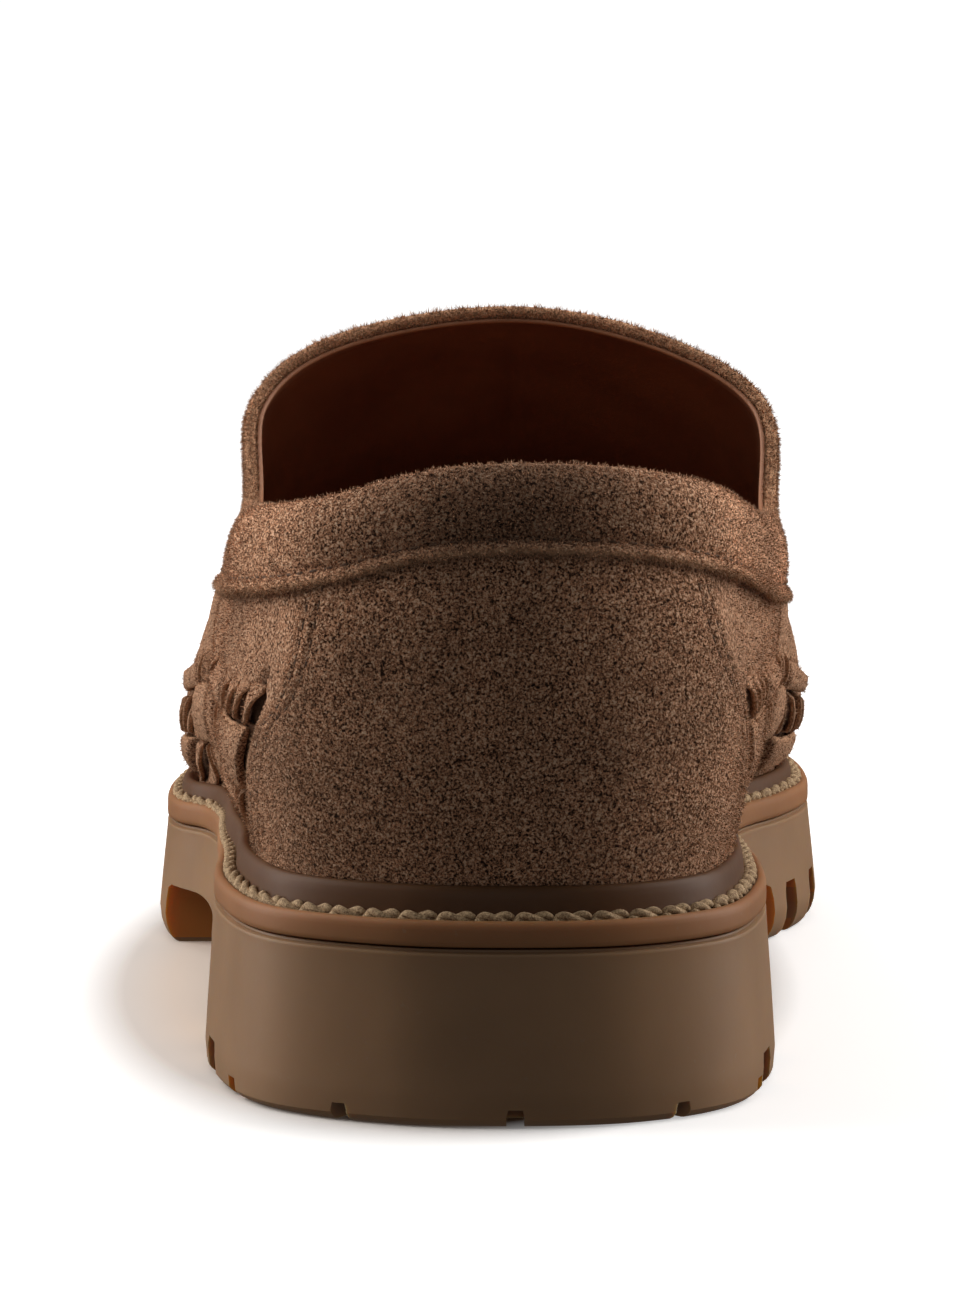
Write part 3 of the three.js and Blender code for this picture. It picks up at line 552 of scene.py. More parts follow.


# Gum rubber: olive brown with faint mould mottling and a dusting, darker on the welt's ledge and rim by
# painted shade, and amber in the notches by a painted glow that stands in for light shining through the
# rubber.
def makeRubber(name, look, warm=0.0):
    material, tree, shader, coords = newMaterial(name)
    mottle = noiseOf(tree, coords, 38.0, 3.0, 0.5)
    speck = noiseOf(tree, coords, 900.0, 2.0, 0.5)
    skin = noiseOf(tree, coords, 420.0, 2.0, 0.5)
    colour = mixColour(tree, warm, look["body"], look["warm"])
    colour = mixColour(tree, 1.0, colour, grey(tree, rangeOf(tree, mottle, 0.3, 0.7, 0.9, 1.1)), "MULTIPLY")
    colour = mixColour(tree, times(tree, rangeOf(tree, speck, 0.68, 0.78), 0.25), colour, look["dust"])
    colour = mixColour(tree, attributeOf(tree, "deep"), colour, look["deep"])
    # Painted glow: amber where light would shine through the rubber in the notches.
    colour = mixColour(tree, attributeOf(tree, "paintedGlow"), colour, look["paintedGlow"])
    tree.links.new(colour, shader.inputs["Base Color"])
    rough = rangeOf(tree, mottle, 0.3, 0.7, look["roughness"] - 0.05, look["roughness"] + 0.08)
    tree.links.new(rough, shader.inputs["Roughness"])
    bumpOf(tree, shader, 0.18, 0.00015, skin)
    shader.inputs["Specular IOR Level"].default_value = look["specular"]
    shader.inputs["Subsurface Weight"].default_value = 0.25
    shader.inputs["Subsurface Radius"].default_value = (1.0, 0.45, 0.15)
    shader.inputs["Subsurface Scale"].default_value = 0.008
    return material


# Thread: pale twisted fibres along each stitch.
def makeThread(name, pale, dark):
    material, tree, shader, coords = newMaterial(name)
    strand = noiseOf(tree, coords, 2600.0, 2.0, 0.6, 1.0)
    colour = mixColour(tree, rangeOf(tree, strand, 0.36, 0.62), dark, pale)
    tree.links.new(colour, shader.inputs["Base Color"])
    bumpOf(tree, shader, 0.6, 0.0002, strand)
    shader.inputs["Roughness"].default_value = 0.85
    return material


liningLook = {"dark": linear(142, 90, 64), "light": linear(168, 112, 80), "cutEdge": linear(176, 118, 82)}


# Lining leather: smooth red-brown with pores and a paler cut edge by the attribute raw.
def makeLining(name, look):
    material, tree, shader, coords = newMaterial(name)
    cloud = noiseOf(tree, coords, 40.0, 3.0, 0.5)
    pore = noiseOf(tree, coords, 1500.0, 2.0, 0.5)
    colour = mixColour(tree, rangeOf(tree, cloud, 0.3, 0.7), look["dark"], look["light"])
    colour = mixColour(tree, times(tree, attributeOf(tree, "raw"), 0.9), colour, look["cutEdge"])
    tree.links.new(colour, shader.inputs["Base Color"])
    bumpOf(tree, shader, 0.35, 0.00012, pore)
    shader.inputs["Roughness"].default_value = 0.5
    return material


quarterSuede = makeSuede("quarterSuede", suedeLook, 0.95)
counterSuede = makeSuede("counterSuede", suedeLook, 0.9)
tasselSuede = makeSuede("tasselSuede", suedeLook, 0.8)
soleRubber = makeRubber("soleRubber", rubberLook)
weltRubber = makeRubber("weltRubber", rubberLook, 0.75)
weltThread = makeThread("weltThread", linear(204, 174, 134), linear(128, 98, 68))
seamThread = makeThread("seamThread", linear(120, 90, 66), linear(62, 42, 30))
liningLeather = makeLining("liningLeather", liningLook)
print("materials ready")


# Stations from start to end that lie closer together near both.
def stationsOf(count, start, end):
    return start + (end - start) * (1 - np.cos(math.pi * np.arange(count + 1) / count)) / 2


# The lip's outline moved inwards, at the same stations on both sides, as one ring: medial side forwards,
# lateral side back.
def ringPoints(us, inset, height):
    parts = []
    for side in (1, -1):
        index = outlineSides[side]
        line, inward = outline[index], outlineIn[index]
        at = np.stack([np.interp(us, line[:, 1], line[:, axis]) for axis in (0, 1)], 1)
        turn = np.stack([np.interp(us, line[:, 1], inward[:, axis]) for axis in (0, 1)], 1)
        spot = at + np.reshape(inset, (-1, 1)) * unit(turn)
        parts.append(np.column_stack([spot, np.broadcast_to(height, us.shape)]))
    tips = (parts[0][[0, -1]] + parts[1][[0, -1]]) / 2
    parts[0][[0, -1]] = tips
    return np.vstack([parts[0], parts[1][-2:0:-1]])


# Quads between the two sides of a ring, as its lid.
def lidFaces(count, start, turned=False):
    around = 2 * count - 2
    medial = np.arange(count - 1)
    left, ahead = (around - medial) % around, (around - medial - 1) % around
    faces = np.stack([medial, medial + 1, ahead, left], -1) + start
    return faces[:, ::-1] if turned else faces


# A closed body from rings of points over each other, with a lid of quads at the bottom and the top.
def stackedRings(name, rings, count, material):
    around = 2 * count - 2
    faces = np.vstack([gridFaces(len(rings), around, wrapColumns=True), lidFaces(count, 0),
                       lidFaces(count, (len(rings) - 1) * around, True)])
    return meshPiece(name, np.vstack(rings), faces, material, weld=1e-6)


outsoleSizes = {
    "stations": 150,
    "footRadius": (0.9, 2.2),                                # at the heel and under the forefoot
    # inset, then height over the floor in foot radii and in millimetres
    "foot": [[4.0, 0, 0], [1.0, 0, 0.02], [0.35, 0.12, 0], [-0.35, 0.45, 0], [-0.8, 0.85, 0], [-1.2, 1.4, 0]],
    "flare": 1.6,
    "bulge": 0.1,
    "neck": [[0.0, 0.8], [0.12, 0.6], [0.7, 0.35], [0.8, 0.05], [1.5, 0.0]],   # inset, drop under the lip
    "arch": (95.0, 181.0),
    "archHeight": 10.4,
    "sideNotch": (6.5, 9.4, 9.0),                            # width, height and depth of each notch
    "medialNotches": (191, 207, 224, 241, 257),
    "lateralNotches": (200, 217, 233, 249, 264),
    "heelNotch": (8.0, 6.0, 7.0),
    "heelNotches": ((43, -1), (70, -1), (60, 1), (33, 1)),   # u and side
    "rearNotch": (2.5, 2.7, 8.0),
    "rearNotches": (-20.4, 4.4, 28.3),                       # x
    "toeNotch": (4.0, 9.0, 18.0),
    "toeNotchHeight": 11.5,
    "toeNotches": (-14, 3, 20),
    "channels": (26, 52, 78, 192, 209, 226, 243),
    "channelDepth": (3.0, 4.5),                              # heel, forefoot
    "sharpAngle": 32.0,
}


# A box with a rounded section, seen along the inward direction, a little wider at its outer end.
def roundedBox(centre, along, inward, sizes, spread=1.0, corner=0.32):
    angle = 2 * math.pi * (np.arange(24) + 0.5) / 24
    wide = np.clip(np.cos(angle) * (1 + corner), -1, 1) / 2
    tall = np.clip(np.sin(angle) * (1 + corner), -1, 1) / 2
    rows = []
    for step, grow in ((-0.5, spread), (0.5, 1.0)):
        rows.append(centre + inward * sizes[1] * step + along * (wide * sizes[0] * grow)[:, None]
                    + np.array([0, 0, 1.0]) * (tall * sizes[2])[:, None])
    return np.stack(rows)


# A prism across the whole sole from a closed profile of u and height.
def prismAcross(profile):
    profile = np.array(profile, float)
    fine = np.vstack([np.linspace(a, b, 5)[:-1] for a, b in zip(profile, np.roll(profile, -1, axis=0))])
    return np.stack([np.column_stack([np.full(len(fine), x), fine]) for x in (-90.0, 90.0)])


# Cuts closed tubes, each two rings of points, out of a piece.
def cutAway(piece, name, boxes):
    faces, points, start = [], [], 0
    for box in boxes:
        faces.append(tubeFaces(2, box.shape[1]) + start)
        points.append(box.reshape(-1, 3))
        start += len(points[-1])
    cutter = meshPiece(name, np.vstack(points), np.vstack(faces), soleRubber)
    modifier = piece.modifiers.new("cut", "BOOLEAN")
    modifier.operation = "DIFFERENCE"
    modifier.solver = "MANIFOLD"
    modifier.object = cutter
    evaluated = piece.evaluated_get(bpy.context.evaluated_depsgraph_get())
    mesh = bpy.data.meshes.new_from_object(evaluated)
    piece.modifiers.clear()
    piece.data = mesh
    bpy.data.objects.remove(cutter)


# The box of a notch that opens outwards and downwards at a point of the outline.
def notchBox(spot, low, width, height, depth):
    inward = np.array([*outlineIn[spot], 0.0])
    along = np.array([-inward[1], inward[0], 0.0])
    centre = np.array([*outline[spot], low - 8 + (height + 8) / 2]) + inward * (depth / 2 - 3)
    return roundedBox(centre, along, inward, (width, depth + 6, height + 8), 1.08)


def nearestOnSide(u, side):
    index = outlineSides[side]
    return index[np.abs(outline[index][:, 1] - u).argmin()]


def notchBoxes(sizes):
    boxes = []
    for side, key in ((1, "medialNotches"), (-1, "lateralNotches")):
        for u in sizes[key]:
            low = float(table(lastForm["underside"], u))
            boxes.append(notchBox(nearestOnSide(u, side), low, *sizes["sideNotch"]))
    boxes += [notchBox(nearestOnSide(u, side), 0.0, *sizes["heelNotch"]) for u, side in sizes["heelNotches"]]
    backs = np.flatnonzero(outline[:, 1] < 40)
    for x in sizes["rearNotches"]:
        boxes.append(notchBox(backs[np.abs(outline[backs, 0] - x).argmin()], 0.0, *sizes["rearNotch"]))
    width, height, depth = sizes["toeNotch"]
    for x in sizes["toeNotches"]:
        centre = np.array([x, outline[:, 1].max() - 3, sizes["toeNotchHeight"]])
        boxes.append(roundedBox(centre, np.array([1.0, 0, 0]), np.array([0, 1.0, 0]), (width, depth, height)))
    return boxes


# The arch's profile: upright ends with soft upper corners.
def archPrism(sizes):
    start, end = sizes["arch"]
    top = sizes["archHeight"]
    return prismAcross([[start, -6], [start, top - 4], [start + 1.2, top - 1.6], [start + 4, top],
                        [end - 3, top], [end - 0.8, top - 0.8], [end, top - 3], [end, -6]])


def channelPrisms(sizes):
    prisms = []
    for u in sizes["channels"]:
        low = float(table(lastForm["underside"], u))
        top = low + sizes["channelDepth"][int(u > lastForm["waist"])]
        prisms.append(prismAcross([[u - 2.2, low - 8], [u - 1.6, top], [u + 1.6, top], [u + 2.2, low - 8]]))
    return prisms


# Share of painted amber glow on each face, standing in for light shining through the rubber: none on the
# outside, the tread and above the notches, full deep inside them.
def markPaintedGlow(mesh):
    places = np.empty(len(mesh.polygons) * 3, np.float32)
    mesh.polygons.foreach_get("center", places)
    places = fromFrame(places)
    gaps = np.full(len(places), 1e9)
    for part in np.array_split(outline, 12):
        gaps = np.minimum(gaps, np.linalg.norm(places[:, None, :2] - part[None], axis=2).min(1))
    low = table(lastForm["underside"], places[:, 1])
    inside = smooth((gaps - 1.6) / 2.5) * smooth((places[:, 2] - low - 0.2) / 1.0)
    inside *= (1 - smooth((places[:, 2] - 14) / 3)) * smooth((places[:, 1] - 16) / 8)
    mesh.attributes.new("paintedGlow", "FLOAT", "FACE").data.foreach_set("value", inside.astype(np.float32))


# The rubber unit: rings of the outline from a rounded foot up a slight flare to a groove under the lip,
# then the arch, the notches and the channels are cut out.
def makeOutsole(sizes):
    us = stationsOf(sizes["stations"], outline[:, 1].min(), outline[:, 1].max())
    under = table(lastForm["underside"], us)
    top = lipTop(us) - lastForm["lipBand"] - 0.15
    foot = mix(*sizes["footRadius"], smooth((us - 90) / 60))
    rings = [ringPoints(us, inset, under + radii * foot + rise) for inset, radii, rise in sizes["foot"]]
    for share in np.linspace(0.12, 1.0, 14):
        height = mix(under + 1.4 * foot, top - 1.1, share)
        inset = -sizes["flare"] * (1 - share) ** 1.1 - sizes["bulge"] * math.sin(math.pi * share)
        rings.append(ringPoints(us, inset, height))
    rings += [ringPoints(us, inset, top - drop) for inset, drop in sizes["neck"]]
    block = stackedRings("outsoleBlock", rings, len(us), soleRubber)
    cutAway(block, "archCut", [archPrism(sizes)])
    cutAway(block, "notchCut", notchBoxes(sizes))
    cutAway(block, "channelCut", channelPrisms(sizes))
    mesh = block.data
    markPaintedGlow(mesh)
    mesh.polygons.foreach_set("use_smooth", np.ones(len(mesh.polygons), bool))
    mesh.set_sharp_from_angle(angle=math.radians(sizes["sharpAngle"]))
    mesh.materials.clear()
    mesh.materials.append(soleRubber)
    return block


weltSizes = {
    "stations": 180,
    "rimThickness": 3.0,
    "lipFoot": [[0.9, 0.15], [0.25, 0.2], [0.02, 0.45], [-0.02, 1.0]],      # inset, height over the foot
    "lipCrown": [[0.0, 1.4], [0.06, 0.8], [0.28, 0.3], [0.7, 0.05], [1.1, 0.0], [1.5, 0.18]],  # inset, drop
    "furrow": [[0.25, 0.154], [0.5, 0.294], [0.75, 0.35], [0.95, 0.294]],   # share of the ledge, depth
    # inset past the ledge's end, share of the rim's height
    "climb": [[-0.12, 0.12], [0.0, 0.35], [0.12, 0.6], [0.3, 0.8], [0.62, 0.94], [1.05, 1.0], [1.6, 1.0],
              [2.1, 0.93], [2.45, 0.8]],
    "ledgeShade": 0.84,
    "rimShade": 0.74,
}


# The welt ring: rings of the outline go round a rounded lip band, a ledge with a stitch furrow and a rounded
# rim against the upper, and back down inside.
def makeWelt(sizes):
    us = stationsOf(sizes["stations"], outline[:, 1].min(), outline[:, 1].max())
    inset, rim = table(lastForm["inset"], us), table(lastForm["rim"], us)
    band = lastForm["lipBand"]
    base = lipTop(us) - band
    ledge = band - 0.3
    wallFoot = inset - sizes["rimThickness"]
    lip = sizes["lipFoot"] + [[step, band - drop] for step, drop in sizes["lipCrown"]]
    rings = [ringPoints(us, step, base + height) for step, height in lip]
    for share, depth in sizes["furrow"]:
        rings.append(ringPoints(us, mix(1.5, wallFoot - 0.3, share), base + ledge - depth))
    for step, share in sizes["climb"]:
        height = base + mix(ledge - 0.3, band + rim, share)
        rings.append(ringPoints(us, np.minimum(wallFoot + step, inset - 0.35), height))
    rings.append(ringPoints(us, inset - 0.35, base + band + rim - 1.4))
    rings.append(ringPoints(us, inset - 0.35, base + 0.15))
    loops = np.stack(rings)
    faces = gridFaces(len(rings), loops.shape[1], wrapRows=True, wrapColumns=True)
    # Painted shade: the ledge and the rim are painted darker, where shade falls against the upper.
    deep = np.zeros(loops.shape[:2])
    first = len(lip) - 1
    deep[first:] = sizes["rimShade"]
    deep[first:first + 1 + len(sizes["furrow"])] = sizes["ledgeShade"]
    return meshPiece("weltRing", loops.reshape(-1, 3), faces, weltRubber, {"deep": deep})


stitchSizes = {"pitch": 5.6, "length": 6.2, "plyRadius": 0.66, "plyGap": 0.48, "turns": 0.9, "slant": 0.8}


# Lock stitches on the ledge: each is two plies twisted about its line, which swell in the middle and dip
# into the rubber at both ends.
def makeWeltStitches(sizes):
    inset = table(lastForm["inset"], outline[:, 1])
    spot = mix(1.5, inset - weltSizes["rimThickness"], 0.52)
    line = np.column_stack([outline + spot[:, None] * outlineIn, lipTop(outline[:, 1]) - 0.15])
    length, fine = evenly(np.vstack([line, line[:1]]), 4000)
    count = int(length / sizes["pitch"])
    along = np.linspace(-0.5, 0.5, 13)
    centre = (np.arange(count)[:, None] + 0.5) / count
    where = (centre + along[None] * sizes["length"] / length) % 1.0
    path = valuesAlong(where, fine)
    tangent = unit(valuesAlong((where + 1e-3) % 1.0, fine) - path)
    up = np.zeros_like(tangent) + [0, 0, 1.0]
    inward = unit(np.cross(up, tangent))
    swell = np.sqrt(np.clip(1 - (2 * along) ** 4, 0.02, 1))[None, :, None]
    slant = (sizes["slant"] * along)[None, :, None]
    loops = []
    for ply in (0, 1):
        turn = 2 * math.pi * sizes["turns"] * along + ply * math.pi
        side = (np.cos(turn) * sizes["plyGap"])[None, :, None] * swell
        lift = (np.sin(turn) * sizes["plyGap"])[None, :, None] * swell
        rest = path + inward * (side + slant) + up * (lift + 0.25 * swell)
        loops.append(circlesAt(rest, inward, up, sizes["plyRadius"] * swell[..., None], 8))
    return tubesPiece("weltStitches", np.concatenate(loops), weltThread)


sockSizes = {
    "stations": 110,
    "gap": 1.1,
    "edge": [[0.0, 1.0], [0.25, 0.3], [0.8, 0.0], [1.8, 0.15]],             # inset, drop under the top
    "sunk": 0.5,
}


# The footbed: a flat leather sock over the board, its rings moved from a rounded edge to the middle line.
def makeSock(sizes):
    us = stationsOf(sizes["stations"], outline[:, 1].min(), outline[:, 1].max())
    edge = table(lastForm["inset"], us) + lastForm["wall"] + sizes["gap"]
    base = baseHeight(us)
    top = base + lastForm["footbed"]
    rings = [ringPoints(us, edge, base)]
    rings += [ringPoints(us, edge + step, top - drop) for step, drop in sizes["edge"]]
    step, drop = sizes["edge"][-1]
    around = 2 * len(us) - 2
    opposite = (around - np.arange(around)) % around
    for share in np.linspace(0.1, 0.96, 12):
        sunk = sizes["sunk"] * math.sin(math.pi * share / 2)
        ring = ringPoints(us, edge + step, top - drop - sunk)
        middle = ring.copy()
        middle[:, :2] = (ring[:, :2] + ring[opposite, :2]) / 2
        rings.append(mix(ring, middle, share))
    return stackedRings("sockLining", rings, len(us), liningLeather)


weave = {
    "rows": np.array([0.02, 0.12, 0.235, 0.3]),              # shares between its three rows
    # share, u where the weave starts at the lateral and at the medial counter seam
    "starts": [[0.0, 55.5, 56.0], [0.07, 50.0, 52.5], [0.178, 42.0, 46.5], [0.268, 31.5, 40.5],
               [0.36, 22.0, 34.0]],
    "column": 26.0,
    "columns": 6,
    "stripsPerColumn": 4,
    "strapThickness": 1.3,
    "strapUnder": -1.1,                                      # out from the last, under the strips
    "strapOver": 0.55,
    "strapPuff": 0.5,
    "strapCrown": 0.75,
    "stripThickness": 1.0,
    "stripUnder": -1.15,
    "stripOver": 0.25,
    "stripPuff": 0.55,
    "stripWidth": 0.84,
    "stripPinch": 0.2,
    "recess": 1.5,
    "wedge": 1.9,
}


# u where the weave starts at a share, on one side.
def weaveStart(t, side):
    rows = np.array(weave["starts"])
    lateral, medial = (np.interp(t, rows[:, 0], rows[:, k]) for k in (1, 2))
    return np.where(side < 0, lateral, medial)


# How far into the woven area a place is: 1 inside, 0 outside, with a short soft border.
def weaveInside(u, side, t):
    start = weaveStart(t, side)
    column = (u - start) / weave["column"]
    along = smooth((column + 0.09) / 0.05) * smooth((weave["columns"] + 0.05 - column) / 0.05)
    rows = weave["rows"]
    up = smooth((t - rows[0] + 0.022) / 0.012) * smooth((rows[-1] + 0.006 - t) / 0.012)
    wedge = weave["wedge"] * np.clip((rows[-1] + 0.05 - t) / 0.05, 0, 1) * (t > rows[-1] - 0.02)
    pulled = smooth((wedge - np.abs(u - start - 1.5)) / 0.7 + 0.4)
    return np.maximum(along * up, pulled * smooth(wedge))


upperSizes = {
    "backStations": 100,
    "throatStations": 56,
    "frontStations": 130,
    "lowRows": 44,
    "highRows": 46,
    "split": 0.37,
    "innerRows": 22,
    "edgeRows": 7,
    "plugRise": 0.9,
    "seamTrough": (1.0, -0.004, 0.018),                      # depth, share from the seam's line, width
    "seamRidge": (0.55, 0.034, 0.02),
    "creases": ((196, 3.2, 0.7), (207, 3.0, 0.55), (219, 3.6, 0.45)),   # u, width, depth
    "liningRows": 26,
    "liningThickness": 0.75,
    "liningEdgeRows": 4,
    "liningLift": 0.55,
}


def bell(value, width):
    return np.exp(-(value / width) ** 2)


# How strong the moc seam is along the shoe: it starts in front of the throat and ends at the plug's tip.
def mocSeamAt(u):
    return smooth((u - lastForm["throatEnd"] - 2) / 12) * smooth((lastForm["plugEnd"] + 1 - u) / 4)


# Outward relief of the shell: the plug stands up past its seam, which is a trough and a ridge, soft creases
# cross the vamp, and the woven area is sunk.
def shellRelief(u, side, t):
    line = plugLine(u)
    plug = upperSizes["plugRise"] * smooth((t - line) / 0.05) * smooth((u - lastForm["throatEnd"]) / 25)
    parts = []
    for key in ("seamTrough", "seamRidge"):
        depth, place, width = upperSizes[key]
        parts.append(depth * bell(t - line - place, width))
    trough = (parts[0] - parts[1]) * mocSeamAt(u)
    flex = 0.0
    for place, width, depth in upperSizes["creases"]:
        flex = flex - depth * bell(u - place - 9 * (t - 0.6) ** 2, width) * smooth((t - 0.3) / 0.25)
    return plug - trough + flex - weave["recess"] * weaveInside(u, side, t)


# Stations of the shell, all of them and how many lie beside the opening; closer at the heel, the throat's
# front and the toe.
def upperStations(sizes):
    start, end = lastForm["throatStart"], lastForm["throatEnd"]
    turn = math.pi / 2 * np.arange(sizes["backStations"]) / sizes["backStations"]
    back = heelU + (start - heelU) * (1 - np.cos(turn))
    throat = start + (end - start) * np.sin(math.pi / 2 * np.linspace(0, 1, sizes["throatStations"]))
    front = end + (toeU - end) * np.sin(math.pi / 2 * np.linspace(0, 1, sizes["frontStations"] + 1))
    return np.concatenate([back, throat, front]), len(back) + len(throat)


# The direction from the throat edge into the opening; straight back where the two sides meet in front.
def intoOpening(tangent, normal, side, opened):
    away = unit(np.cross(tangent, normal)) * -side
    away[opened - 1] = unit(away[opened - 1] * [0, 1, 1])
    return away


# Faces of a wrapped grid without those that would wall off the edge roll where the opening ends.
def openedFaces(stations, columns, opened, rollStart, rollCount, start):
    faces = gridFaces(stations, columns, wrapColumns=True)
    row, column = faces[:, 0] // columns, faces[:, 0] % columns
    walled = (row == opened - 1) & (column >= rollStart - 1) & (column < rollStart + rollCount)
    return faces[~walled] + start


# The rolled edge of a wall: half a circle over its thickness beside the opening, and a straight step through
# the wall where the two sides meet on the ridge.
def rolledEdge(edge, inner, normal, away, thickness, count, opened, lift=0.0):
    angle = math.pi * (np.arange(count) + 0.5) / count
    turn = normal[:, None] * np.cos(angle)[None, :, None] + away[:, None] * np.sin(angle)[None, :, None]
    roll = (edge - normal * thickness / 2 + away * lift)[:, None] + thickness / 2 * turn
    roll[opened:] = mix(edge[opened:, None], inner[opened:, None], (angle / math.pi)[None, :, None])
    return roll


# The suede shell: rows from its foot up the outside with relief, over a raw edge and down the inside.
def makeUpper(sizes):
    us, opened = upperStations(sizes)
    wall, split = lastForm["wall"], sizes["split"]
    grids, hollowShades, tones, raws = [], [], [], []
    for side in (-1, 1):
        top = np.where(np.arange(len(us)) < opened, topShare(us, side), 1.0)
        low = np.linspace(0, split, sizes["lowRows"], endpoint=False)
        high = split + (top[:, None] - split) * np.linspace(0, 1, sizes["highRows"])[None]
        shares = np.hstack([np.broadcast_to(low, (len(us), len(low))), high])
        station = us[:, None] + np.zeros_like(shares)
        outer = shellAt(station, side, shares, shellRelief(station, side, shares))
        rise = lastPoint(us, side, 0.0)
        foot = np.stack([rise[:, 0], rise[:, 1], baseHeight(us)], -1)[:, None]
        innerShares = top[:, None] * np.linspace(1, 0.03, sizes["innerRows"])[None]
        innerU = us[:, None] + np.zeros_like(innerShares)
        inner = shellAt(innerU, side, innerShares, np.full_like(innerShares, -wall))
        innerFoot = rise - unit(lastNormal(us, side, 0.03) * [1, 1, 0]) * wall
        innerFoot[:, 2] = baseHeight(us)
        edge, normal = outer[:, -1], lastNormal(us, side, top)
        away = intoOpening(unit(np.gradient(edge, axis=0)), normal, side, opened)
        roll = rolledEdge(edge, inner[:, 0], normal, away, wall, sizes["edgeRows"], opened)
        grids.append(np.concatenate([foot, outer, roll, inner, innerFoot[:, None]], axis=1))
        hollowShade, raw, tone = (np.zeros(grids[-1].shape[:2]) for _ in range(3))
        start = 1 + shares.shape[1]
        # Painted shade: the sunk woven area is painted dark, standing in for the shade in its gaps and the
        # dark lining seen through them.
        hollowShade[:, 1:start] = weaveInside(station, side, shares)
        hollowShades.append(0.93 * smooth(hollowShade * 1.6))
        raw[:opened, start:start + sizes["edgeRows"]] = 1.0
        raw[:opened, start - 2:start] = 0.5
        raws.append(raw)
        tone[:opened, start - 2:start + sizes["edgeRows"]] = 0.22
        # Painted shade: the moc seam's trough is painted darker.
        tone[:, 1:start] -= 0.3 * bell(shares - plugLine(station) + 0.004, 0.02) * mocSeamAt(station)
        tones.append(tone)
    columns, size = grids[0].shape[1], grids[0][..., 0].size
    faces = [openedFaces(len(us), columns, opened, start, sizes["edgeRows"], k * size) for k in (0, 1)]
    attributes = {"hollowShade": np.concatenate(hollowShades), "raw": np.concatenate(raws),
                  "tone": np.concatenate(tones)}
    return meshPiece("upperShell", np.concatenate(grids), np.vstack(faces), quarterSuede, attributes,
                     weld=2e-6)


# Lining: a thin smooth skin inside the shell, its cut edge just under the suede's.
def makeShellLining(sizes):
    us, opened = upperStations(sizes)
    skin, rows, edgeRows = sizes["liningThickness"], sizes["liningRows"], sizes["liningEdgeRows"]
    depth = lastForm["wall"] + 0.06
    grids, raws = [], []
    for side in (-1, 1):
        top = np.where(np.arange(len(us)) < opened, topShare(us, side), 1.0)
        shares = top[:, None] * np.linspace(0.05, 1, rows)[None]
        station = us[:, None] + np.zeros_like(shares)
        outside = shellAt(station, side, shares, np.full_like(shares, -depth))
        inside = shellAt(station, side, shares, np.full_like(shares, -depth - skin))
        edge, normal = outside[:, -1], lastNormal(us, side, top)
        away = intoOpening(unit(np.gradient(edge, axis=0)), normal, side, opened)
        roll = rolledEdge(edge, inside[:, -1], normal, away, skin, edgeRows, opened, sizes["liningLift"])
        grids.append(np.concatenate([outside, roll, inside[:, ::-1]], axis=1))
        raw = np.zeros(grids[-1].shape[:2])
        raw[:opened, rows:rows + edgeRows] = 1.0
        raws.append(raw)
    columns, size = grids[0].shape[1], grids[0][..., 0].size
    faces = [openedFaces(len(us), columns, opened, rows, edgeRows, k * size) for k in (0, 1)]
    return meshPiece("shellLining", np.concatenate(grids), np.vstack(faces), liningLeather,
                     {"raw": np.concatenate(raws)}, weld=2e-6)


# Horizontal straps: rounded sections along the shoe, out and crowned in every other cell, sunk under the
# strips in the cells between.
def makeStraps():
    across, out = roundedSection(14, 0.55)
    pieces, hollowShades, raws = [], [], []
    rows = weave["rows"]
    for side in (-1, 1):
        for row in range(3):
            column = np.linspace(0.0 if row == 1 else -0.05, weave["columns"] + 0.02, 210)[:, None]
            cell = np.floor(np.clip(column, 0, weave["columns"] - 1e-6))
            part = np.clip(column - cell, 0, 1)
            over = (cell + row) % 2 == 1
            near = np.where((cell == 0) & over, 1 - part, np.minimum(part, 1 - part))
            pad = np.where(over, smooth(near / 0.11), 0.0)
            middle, half = (rows[row] + rows[row + 1]) / 2, (rows[row + 1] - rows[row]) / 2 * 1.03
            t = middle + half * across[None] * (0.94 + 0.06 * pad)
            crown = weave["strapCrown"] * (1 - across[None] ** 2)
            puff = weave["strapPuff"] * np.sin(math.pi * part)
            level = mix(weave["strapUnder"], weave["strapOver"] + puff, pad) + crown * pad
            if row == 2:
                level = mix(level, -0.15, smooth((across[None] + 0.1) / 1.0) * pad)
            height = level + (out[None] - 1) * weave["strapThickness"] / 2
            u = weaveStart(middle, side) + weave["column"] * column
            u = u + (weaveStart(t, side) - weaveStart(middle, side)) * 0.85
            points = shellAt(u, side, np.clip(t, 0, 1), height)
            points[..., 2] += latticeNoise(points, 1.1, 5) * 0.12 * np.abs(across[None]) ** 6
            pieces.append(points)
            # Painted shade: where a strap runs under the strips it is painted dark, and its pale cut edge is
            # painted fainter there.
            raws.append(np.abs(across[None]) ** 8 * (0.3 + 0.7 * pad))
            hollowShades.append(0.85 * (1 - pad) + 0 * t)
    attributes = {"raw": np.stack(raws), "hollowShade": np.stack(hollowShades)}
    return tubesPiece("wovenStraps", np.stack(pieces), quarterSuede, attributes)


